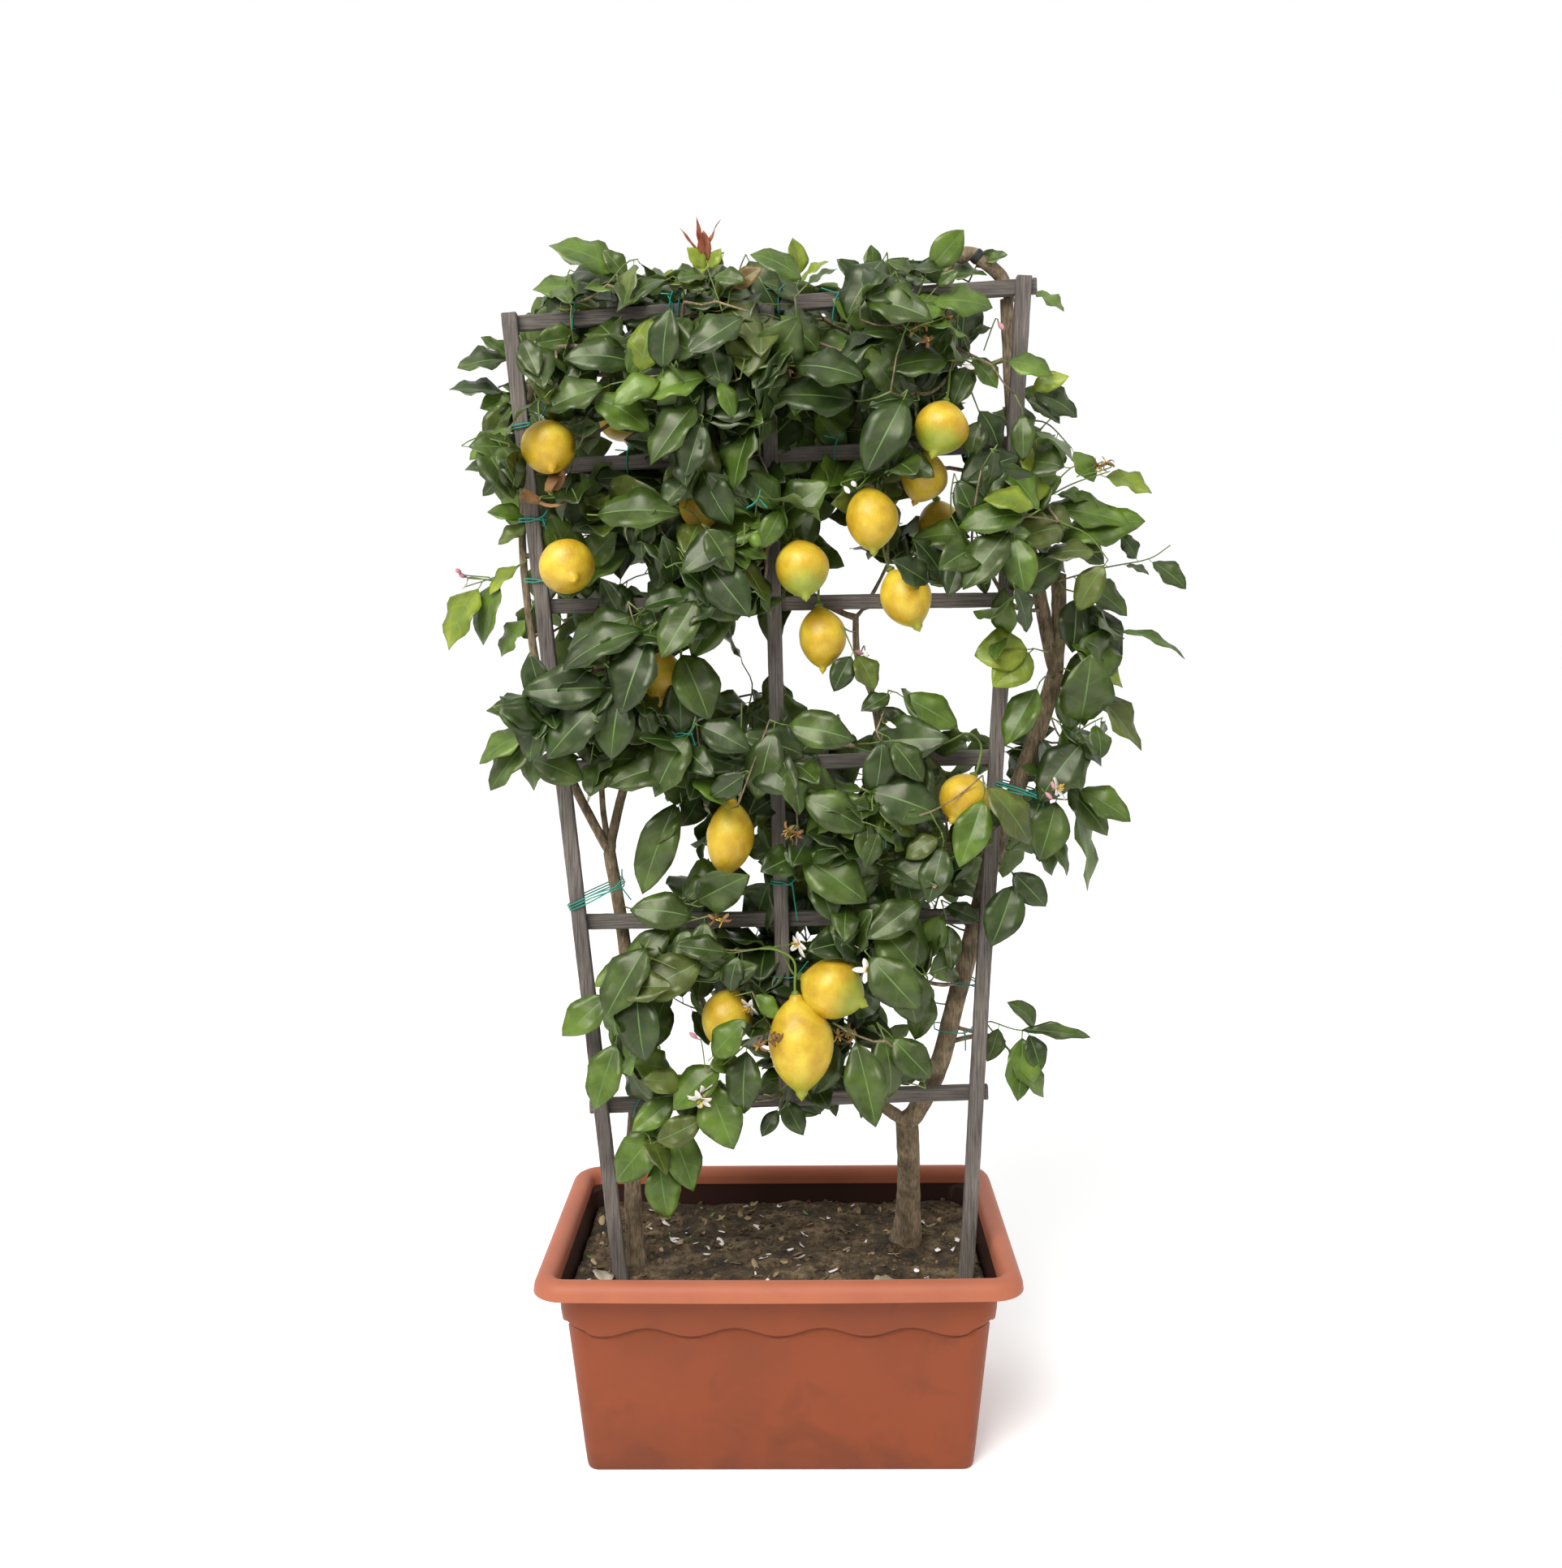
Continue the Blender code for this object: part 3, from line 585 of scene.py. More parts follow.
def batten(name, node, finish):
    """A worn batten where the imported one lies: chamfered section, rings along it, sawn ends."""
    line, _ = middle_line(node, 3)
    start, end = line[0], line[-1]
    way = (end - start) / np.linalg.norm(end - start)
    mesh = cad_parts[node].data
    reach = np.array([v.co for v in mesh.vertices]) @ way
    start = start + way * (reach.min() - start @ way)
    end = end + way * (reach.max() - end @ way)
    if start[2] < SOIL_HIGH[2] + 0.02 and way[2] > 0.9:
        start = start - way * STAKE_IN_SOIL
    out = np.array((0.0, 1.0, 0.0))
    across = np.cross(out, way)
    half, deep, cut = BATTEN_WIDE / 2, BATTEN_DEEP / 2, BATTEN_BEVEL
    wide_from, wide = -half + cut, (half - cut) - (-half + cut)
    deep_from, high = -deep + cut, (deep - cut) - (-deep + cut)
    section = [(wide_from + share * wide, -deep) for share in np.linspace(0, 1, 5)]
    section += [(half, deep_from + share * high) for share in np.linspace(0, 1, 4)]
    section += [(wide_from + share * wide, deep) for share in np.linspace(1, 0, 5)]
    section += [(-half, deep_from + share * high) for share in np.linspace(1, 0, 4)]
    length = np.linalg.norm(end - start)
    stops = [0.0, 0.0012, *np.arange(0.010, length - 0.008, 0.010), length - 0.0012, length]
    rings = []
    for stop in stops:
        shrink = 0.93 if stop in (0.0, length) else 1.0
        ring = []
        for u, v in section:
            point = start + way * stop + across * (u * shrink) + out * (v * shrink)
            worn = noise.noise_vector(Vector(point) / 0.013) * WEAR
            slow = noise.noise_vector(Vector(point) / 0.16) * (0.9 * MM)
            ring.append(point + np.array(worn) + np.array(slow) * (1, 0.25, 1))
        rings.append((np.array(ring), 0))
    points, faces, _ = loft(rings)
    piece = new_piece(name, points, faces, [finish])
    piece.data.set_sharp_from_angle(angle=math.radians(35))
    return place(piece, "weathered_timber", node)


for side in ("left", "middle", "right"):
    batten(f"stake_{side}", f"upright_{side}", upright_timber)
for number in range(1, 7):
    batten(f"crossbar_{number}", f"rail_{number}", rail_timber)

# %% [markdown]
# Lemon bark is thin, grey-brown and finely fissured lengthwise, with a few wrinkles where a limb bends
# and small scars where shoots were cut. The relief goes into the mesh: each limb is a tube whose radius
# follows noise stretched along it, and colour follows a second noise: fissures are dark and ridges pale.

# %% Bark and limbs
RING_STEP, LIMB_SIDES = 4.0 * MM, 26
FISSURE_DEPTH, FISSURE_MM, FISSURE_RUN_MM = 0.055, 3.2, 26.0
KNOT_SWELL = 0.14
CRACK_MM, BARK_PATCH_MM = 2.4, 22
FLARE, FLARE_RISE = 0.38, 0.032
STEM_IN_SOIL = 0.030
LIMBS = {
    "stem_left": None, "bough_left_outer": "stem_left", "bough_left_middle": "stem_left",
    "bough_left_inner": "stem_left", "stem_right": None, "bough_right_leader": "stem_right",
    "bough_right_upper": "bough_right_leader", "bough_right_arch": "bough_right_upper",
    "bough_right_stub": "bough_right_leader", "bough_centre_low": "stem_right",
    "bough_centre_high": None, "bough_right_low": "bough_right_leader",
}


def bark(name, dark, mid, pale):
    """Fissured bark: dark in the cracks and pale on the ridges."""
    return streaked(
        name, mid, 0.90, (1.0, 1.0, 0.16), (CRACK_MM, {"Detail": 5.0, "Roughness": 0.65, "Distortion": 0.5}),
        ((0.30, dark), (0.48, mid), (0.70, pale)), (BARK_PATCH_MM, {"Detail": 4.0}),
        ((0.34, "#A9A79C"), (0.66, "#FFFBF2")), (0.6, 0.7))


old_bark = bark("lemon_bark", "#54473A", "#87765F", "#A99A84")
limb_paths, limb_radii = {}, {}


def limb_line(node, parent):
    """The limb's smooth middle line and radii, carried on into its parent or into the soil."""
    near = None if parent is None else limb_paths[parent][-1]
    middles, radii = middle_line(node, 9, near)
    if node.startswith("stem"):
        radii[:3] = np.minimum(radii[:3], radii[3] * 1.06)
        foot = middles[0] - np.array((0, 0, STEM_IN_SOIL))
        middles, radii = np.vstack((foot, middles)), np.concatenate(([radii[0]], radii))
    elif parent is not None:
        gaps = np.linalg.norm(limb_paths[parent] - middles[0], axis=1)
        join = limb_paths[parent][-1 if gaps[-1] < 0.03 else gaps.argmin()]
        middles, radii = np.vstack((join, middles[1:])), np.concatenate(([radii[1]], radii[1:]))
    line, _ = smooth_line(middles, RING_STEP)
    shares = np.linspace(0, len(radii) - 1, len(line))
    return line, np.interp(shares, np.arange(len(radii)), radii)


def bark_relief(line, radii, seed):
    """How bark scales the radius: lengthwise fissures, slow swellings, and the flare at a stem's foot."""
    def relief(i, angles):
        along = i * RING_STEP / (FISSURE_RUN_MM * MM)
        scale = []
        for angle in angles:
            turn = Vector((math.cos(angle), math.sin(angle), 0)) * (radii[i] / (FISSURE_MM * MM))
            fissure = abs(noise.noise(turn + Vector((seed, 0, along)))) * 2 - 0.5
            round_limb = Vector((math.cos(angle) * 0.7 + seed, math.sin(angle) * 0.7, i * RING_STEP / 0.045))
            swell = noise.noise(round_limb)
            lift = 1 - FISSURE_DEPTH * fissure + KNOT_SWELL * 0.5 * swell
            if seed < 0:
                above = max(line[i][2] - SOIL_HIGH[2], 0)
                buttress = 1 + 0.22 * math.sin(3 * angle + seed) + 0.1 * math.sin(5 * angle)
                lift += FLARE * math.exp(-above / FLARE_RISE) * buttress
            scale.append(lift)
        return np.array(scale)
    return relief


for number, (node, parent) in enumerate(LIMBS.items()):
    line, radii = limb_line(node, parent)
    limb_paths[node], limb_radii[node] = line, radii
    seed = -(number + 1.5) if node.startswith("stem") else number + 1.5
    limb = sweep(line, radii, LIMB_SIDES, bark_relief(line, radii, seed))
    place(new_piece("bark_" + node, *limb, [old_bark]), "bark", node)

# %% [markdown]
# Places on the tree are read as x and z where they cross the trellis's front plane. Something nearer or
# farther than that plane is moved along the line of sight, so that it still shows in the same place.
# Sky windows are gaps in the crown, kept free of leaves. Each packed mass becomes a room for sprays.

# %% Rooms for foliage and gaps of sky
PLANE_Y = -0.085
EYE_AT = np.array(EYE)
SKY = (  # left, right, bottom, top, on the trellis plane
    (0.100, 0.270, 0.975, 1.072), (0.020, 0.100, 0.945, 1.020), (-0.062, -0.002, 0.965, 1.035),
    (0.150, 0.214, 1.165, 1.213), (0.205, 0.245, 1.205, 1.240), (-0.190, -0.147, 1.088, 1.132),
    (-0.196, -0.176, 1.400, 1.416), (-0.243, -0.222, 1.290, 1.318), (-0.096, -0.072, 1.278, 1.302),
    (0.158, 0.184, 1.362, 1.392), (0.112, 0.130, 1.288, 1.300), (0.020, 0.034, 1.262, 1.278),
    (-0.203, -0.125, 0.725, 0.850), (-0.243, -0.212, 0.700, 0.850), (-0.245, -0.192, 0.630, 0.688),
    (-0.142, -0.105, 0.505, 0.605), (-0.075, -0.020, 0.668, 0.712), (0.222, 0.252, 0.440, 0.540),
    (0.240, 0.256, 0.540, 0.620), (0.115, 0.140, 0.560, 0.615), (-0.110, 0.160, 0.290, 0.425),
    (0.012, 0.060, 0.665, 0.690), (-0.252, -0.205, 0.290, 0.455), (0.100, 0.300, 0.290, 0.440),
    (-0.035, 0.000, 0.985, 1.040),
)


def at_depth(x, z, y):
    """The point at depth y that is seen at (x, z) of the trellis plane."""
    share = (y - EYE_AT[1]) / (PLANE_Y - EYE_AT[1])
    return np.array((EYE_AT[0] + (x - EYE_AT[0]) * share, y, EYE_AT[2] + (z - EYE_AT[2]) * share))


def seen_at(points):
    """Where points are seen on the trellis plane, as columns x and z."""
    points = np.atleast_2d(points)
    share = (PLANE_Y - EYE_AT[1]) / (points[:, 1] - EYE_AT[1])
    return EYE_AT[[0, 2]] + (points[:, [0, 2]] - EYE_AT[[0, 2]]) * share[:, None]


def in_windows(seen, windows):
    """Whether places seen on the trellis plane lie in any of the rectangles."""
    x, z = seen[:, :1], seen[:, 1:]
    left, right_edge, bottom, top = np.array(windows).T
    return ((x > left) & (x < right_edge) & (z > bottom) & (z < top)).any(axis=1)


def in_sky(points):
    """Whether points would cover a gap of sky or, if they are in front of it, a batten that shows."""
    seen = seen_at(points)
    nearer = np.atleast_2d(points)[:, 1] < FRONT_OF_BATTENS
    return in_windows(seen, SKY) | (nearer & in_windows(seen, FRONT_SKY))


BATTEN_SHOWS = {  # spans along each batten that no leaf in front of it may cover
    "rail_1": ((-0.300, -0.190), (-0.160, -0.112), (-0.020, 0.100), (0.205, 0.285)),
    "rail_2": ((-0.245, -0.163), (-0.005, 0.048), (0.070, 0.128), (0.215, 0.262)),
    "rail_3": ((0.205, 0.280), (-0.250, -0.200)), "rail_4": ((0.058, 0.140), (0.175, 0.275)),
    "rail_5": ((-0.236, -0.080), (0.020, 0.080), (0.180, 0.250)),
    "rail_6": ((-0.220, -0.120), (0.110, 0.250)),
    "upright_middle": ((0.640, 0.745), (0.775, 0.855), (0.930, 1.060)),
    "upright_right": ((1.290, 1.330), (1.370, 1.440), (0.880, 1.010), (0.260, 0.760)),
    "upright_left": ((1.330, 1.440), (1.150, 1.220), (1.010, 1.080), (0.260, 0.860)),
}
SHOW_MARGIN, WINDOW_LONG = 0.018, 0.035


def batten_windows():
    """Rectangles on the trellis plane, like the sky's, over the spans of battens that show."""
    windows = []
    for node, spans in BATTEN_SHOWS.items():
        line = middle_line(node, 3)[0]
        along = 0 if node.startswith("rail") else 2
        line = line[line[:, along].argsort()]
        for low, high in spans:
            for start in np.arange(low, high, WINDOW_LONG):
                end = min(start + WINDOW_LONG, high)
                other = np.interp((start + end) / 2, line[:, along], line[:, 2 - along])
                near, far = other - SHOW_MARGIN, other + SHOW_MARGIN
                windows.append((start, end, near, far) if along == 0 else (near, far, start, end))
    return windows


FRONT_SKY = batten_windows() + [(0.306, 0.352, 0.915, 1.095)]  # the last is where the right leader shows
FRONT_OF_BATTENS = -0.088
LEFT_EDGE = (  # z, x of the crown's left edge, upwards
    (0.31, -0.165), (0.40, -0.200), (0.50, -0.222), (0.62, -0.222), (0.70, -0.190), (0.84, -0.200),
    (0.87, -0.300), (0.95, -0.325), (1.02, -0.300), (1.15, -0.305), (1.24, -0.345), (1.34, -0.355),
    (1.40, -0.310), (1.45, -0.270))
RIGHT_EDGE = (  # z, x of its right edge
    (0.31, -0.090), (0.42, -0.060), (0.44, 0.130), (0.50, 0.190), (0.60, 0.215), (0.66, 0.275),
    (0.72, 0.310), (0.80, 0.370), (0.90, 0.405), (1.05, 0.405), (1.12, 0.355), (1.25, 0.335),
    (1.36, 0.308), (1.42, 0.290), (1.47, 0.255))
TOP_EDGE = (  # x, z of its top
    (-0.30, 1.445), (-0.20, 1.468), (-0.08, 1.458), (0.05, 1.464), (0.13, 1.460), (0.20, 1.474),
    (0.29, 1.462))


def in_outline(points):
    """Whether points are seen inside the crown's outline, which only the named shoots cross."""
    x, z = seen_at(points).T
    left, right_edge, top = (np.array(edge).T for edge in (LEFT_EDGE, RIGHT_EDGE, TOP_EDGE))
    return (x > np.interp(z, *left)) & (x < np.interp(z, *right_edge)) & (z < np.interp(x, *top))


def room_of(node):
    """A packed mass as a search tree, which tells how far inside it a point lies."""
    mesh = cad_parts[node].data
    return BVHTree.FromPolygons([v.co for v in mesh.vertices], [tuple(f.vertices) for f in mesh.polygons])


ROOMS = {node: room_of(node) for node in sorted(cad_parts) if node.startswith("foliage")}


def depth_in(room, point):
    """How deep a point lies inside a room, or minus how far outside it is."""
    spot, normal, _, distance = room.find_nearest(Vector(point))
    return distance if (Vector(point) - spot).dot(normal) < 0 else -distance


def depth_in_crown(point):
    """How deep a point lies in the room that holds it best."""
    return max(depth_in(room, point) for room in ROOMS.values())


print(len(ROOMS), "rooms for foliage,", len(SKY), "sky windows")

# %% [markdown]
# The fruit is placed before any leaf grows, so that leaves can keep clear of it. Each lemon has its place,
# its size across and along, the way its tip points, and how much of its face leaves may not cover.

# %% Where the lemons hang
LEMONS = {  # x, z, depth; width, length; tip direction; uncovered share; how long a nipple
    "upper_left": (-0.268, 1.266, -0.140, 0.064, 0.076, (0.25, -0.62, -0.74), 1.00, 0.8),
    "left": (-0.247, 1.124, -0.140, 0.066, 0.074, (0.33, -0.80, -0.35), 0.98, 0.9),
    "upper_right": (0.200, 1.285, -0.140, 0.063, 0.074, (-0.25, -0.25, -0.93), 1.00, 0.6),
    "middle_left": (-0.085, 1.195, -0.112, 0.056, 0.070, (0.1, -0.5, -0.8), 0.78, 0.7),
    "middle_right": (0.118, 1.178, -0.140, 0.061, 0.086, (0.10, -0.15, -0.98), 0.92, 0.6),
    "middle": (0.034, 1.120, -0.140, 0.063, 0.082, (0.16, -0.42, -0.89), 0.90, 0.7),
    "right": (0.160, 1.083, -0.130, 0.060, 0.083, (0.42, -0.10, -0.90), 0.80, 1.0),
    "hanging": (0.058, 1.037, -0.102, 0.057, 0.085, (0.05, -0.10, -0.99), 0.95, 0.5),
    "waist_left": (-0.137, 0.990, -0.120, 0.052, 0.074, (-0.15, -0.15, -0.98), 0.62, 0.7),
    "waist_behind": (-0.108, 0.975, -0.112, 0.036, 0.050, (0.1, 0.0, -1.0), 0.50, 0.5),
    "pale_behind": (0.180, 1.228, -0.092, 0.056, 0.070, (-0.3, 0.1, -0.95), 0.20, 0.5),
    "waist_right": (0.230, 0.840, -0.135, 0.064, 0.072, (-0.45, -0.45, -0.77), 0.80, 0.5),
    "necked": (-0.058, 0.792, -0.130, 0.057, 0.104, (-0.12, -0.10, -0.99), 0.78, 1.4),
    "low_round": (0.072, 0.600, -0.150, 0.076, 0.092, (0.86, -0.30, -0.32), 1.00, 0.6),
    "low_long": (0.027, 0.528, -0.160, 0.078, 0.132, (0.05, -0.08, -0.99), 1.00, 0.9),
    "low_left": (-0.066, 0.566, -0.125, 0.062, 0.082, (-0.35, -0.2, -0.9), 0.72, 0.6),
    "behind_top": (-0.180, 1.300, 0.070, 0.060, 0.072, (0.2, 0.6, -0.78), 0.0, 0.7),
    "behind_top_right": (0.100, 1.330, 0.085, 0.062, 0.076, (-0.2, 0.5, -0.84), 0.0, 0.6),
    "behind_right": (0.200, 1.170, 0.070, 0.058, 0.078, (0.1, 0.4, -0.9), 0.0, 0.8),
    "behind_waist": (-0.060, 0.895, 0.080, 0.060, 0.080, (0.0, 0.4, -0.9), 0.0, 0.7),
    "behind_waist_right": (0.150, 0.800, 0.075, 0.064, 0.078, (-0.1, 0.5, -0.86), 0.0, 0.6),
    "behind_low": (0.030, 0.600, 0.060, 0.062, 0.090, (0.1, 0.2, -0.97), 0.0, 0.9),
}
LEMON_AT = np.array([at_depth(*row[:3]) for row in LEMONS.values()])
LEMON_REACH, LEMON_LONG = np.array([row[3:5] for row in LEMONS.values()]).T / 2
LEMON_TIP = np.array([np.array(row[5]) / np.linalg.norm(row[5]) for row in LEMONS.values()])
LEMON_CLEAR = np.array([row[6] for row in LEMONS.values()])
LEMON_SEEN = seen_at(LEMON_AT)
CLEAR_MORE = 1.7


def meets_lemon(points, spare=0.002):
    """Whether points lie in a lemon, or would cover the part of its face that shows."""
    for point, seen in zip(points, seen_at(points)):
        gap = point - LEMON_AT
        along = np.einsum("ij,ij->i", gap, LEMON_TIP)
        across = np.linalg.norm(gap - along[:, None] * LEMON_TIP, axis=1)
        inside = (along / (LEMON_LONG + spare)) ** 2 + (across / (LEMON_REACH + spare)) ** 2 < 1
        off = seen - LEMON_SEEN
        tip = LEMON_TIP[:, [0, 2]]
        flat_long = np.linalg.norm(tip, axis=1)
        tip = tip / np.maximum(flat_long, 0.05)[:, None]
        half_long = LEMON_REACH + (LEMON_LONG - LEMON_REACH) * flat_long
        lengthwise = np.einsum("ij,ij->i", off, tip)
        sideways = np.linalg.norm(off - lengthwise[:, None] * tip, axis=1)
        face = (lengthwise / half_long) ** 2 + (sideways / LEMON_REACH) ** 2
        covered = face < LEMON_CLEAR**2 * np.where(LEMON_CLEAR > 0.85, CLEAR_MORE, 1)
        if (inside | (covered & (point[1] < LEMON_AT[:, 1]))).any():
            return True
    return False


print(len(LEMONS), "lemons placed")

# %% [markdown]
# The twigs follow a branching rule. Places for sprays are scattered evenly in every room. Then, nearest
# first, each is joined by a bowed twig to the nearest wood that is already there, limbs or earlier twigs,
# with a penalty for crossing a gap of sky. A twig's thickness follows the number of sprays that it feeds.

# %% Scatter the sprays and join them to the limbs
rng = np.random.default_rng(11)
SPRAY_STEP = {"front": (0.060, 0.048, 0.058), "rear": (0.070, 0.066, 0.068), "side": (0.090, 0.070, 0.088)}
TWIG_STEP = 0.016
SKY_COST, TWIGS_FROM = 0.35, 0.40
TWIG_TIP, TWIG_GROWTH, TWIG_MOST = 0.95 * MM, 0.42, 4.2 * MM

spray_at, spray_room = [], []
for node, room in ROOMS.items():
    low, high = (np.array(corner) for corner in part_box(node))
    step = np.array(SPRAY_STEP[node.split("_")[1]])
    counts = np.maximum(np.round((high - low) / step).astype(int), 1)
    for cell in np.ndindex(*counts):
        point = low + (np.array(cell) + 0.5 + rng.uniform(-0.34, 0.34, 3)) * (high - low) / counts
        if (depth_in(room, point) > 0.002 and not in_sky(point)[0] and in_outline(point)[0]
                and not meets_lemon([point], 0.012)):
            spray_at.append(point)
            spray_room.append(node)
spray_at = np.array(spray_at)

wood_at = [point for line in limb_paths.values() for point in line[line[:, 2] > TWIGS_FROM][::4]]
wood_parent = [-1] * len(wood_at)  # a point of a limb has no parent


def join_wood(target, bow=0.16):
    """Grows a twig from the best wood to the target, and returns the index of its last point."""
    points = np.array(wood_at)
    cost = np.linalg.norm(points - target, axis=1) + 0.45 * np.maximum(points[:, 2] - target[2], 0)
    best = np.argsort(cost)[:24]
    sky = [in_sky(points[i] + (target - points[i]) * np.linspace(0.1, 0.9, 7)[:, None]).mean()
           for i in best]
    start = best[np.argmin(cost[best] + SKY_COST * np.array(sky))]
    origin, run = points[start], target - points[start]
    length = np.linalg.norm(run)
    lift = np.array((0, 0, -1.0)) * bow * length + rng.normal(0, 0.05, 3) * length
    count = max(2, int(length / TWIG_STEP))
    last = start
    for share in np.linspace(0, 1, count + 1)[1:]:
        bend = lift * 4 * share * (1 - share) * 0.5
        wood_at.append(origin + run * share + bend)
        wood_parent.append(int(last))
        last = len(wood_at) - 1
    return last


limb_points = np.array(wood_at)
order = np.argsort([np.linalg.norm(limb_points - point, axis=1).min() for point in spray_at])
spray_wood = {int(number): join_wood(spray_at[number]) for number in order}
print(len(spray_at), "sprays,", len(wood_at), "points of wood")

# %% [markdown]
# The rule fills the crown, but its outline is made by a few strong shoots that reach past it, and by
# the largest leaves at the front. Those are listed shoot by shoot, as a gardener would
# describe them: where the stem runs, and where the tip of each leaf is, in millimetres.

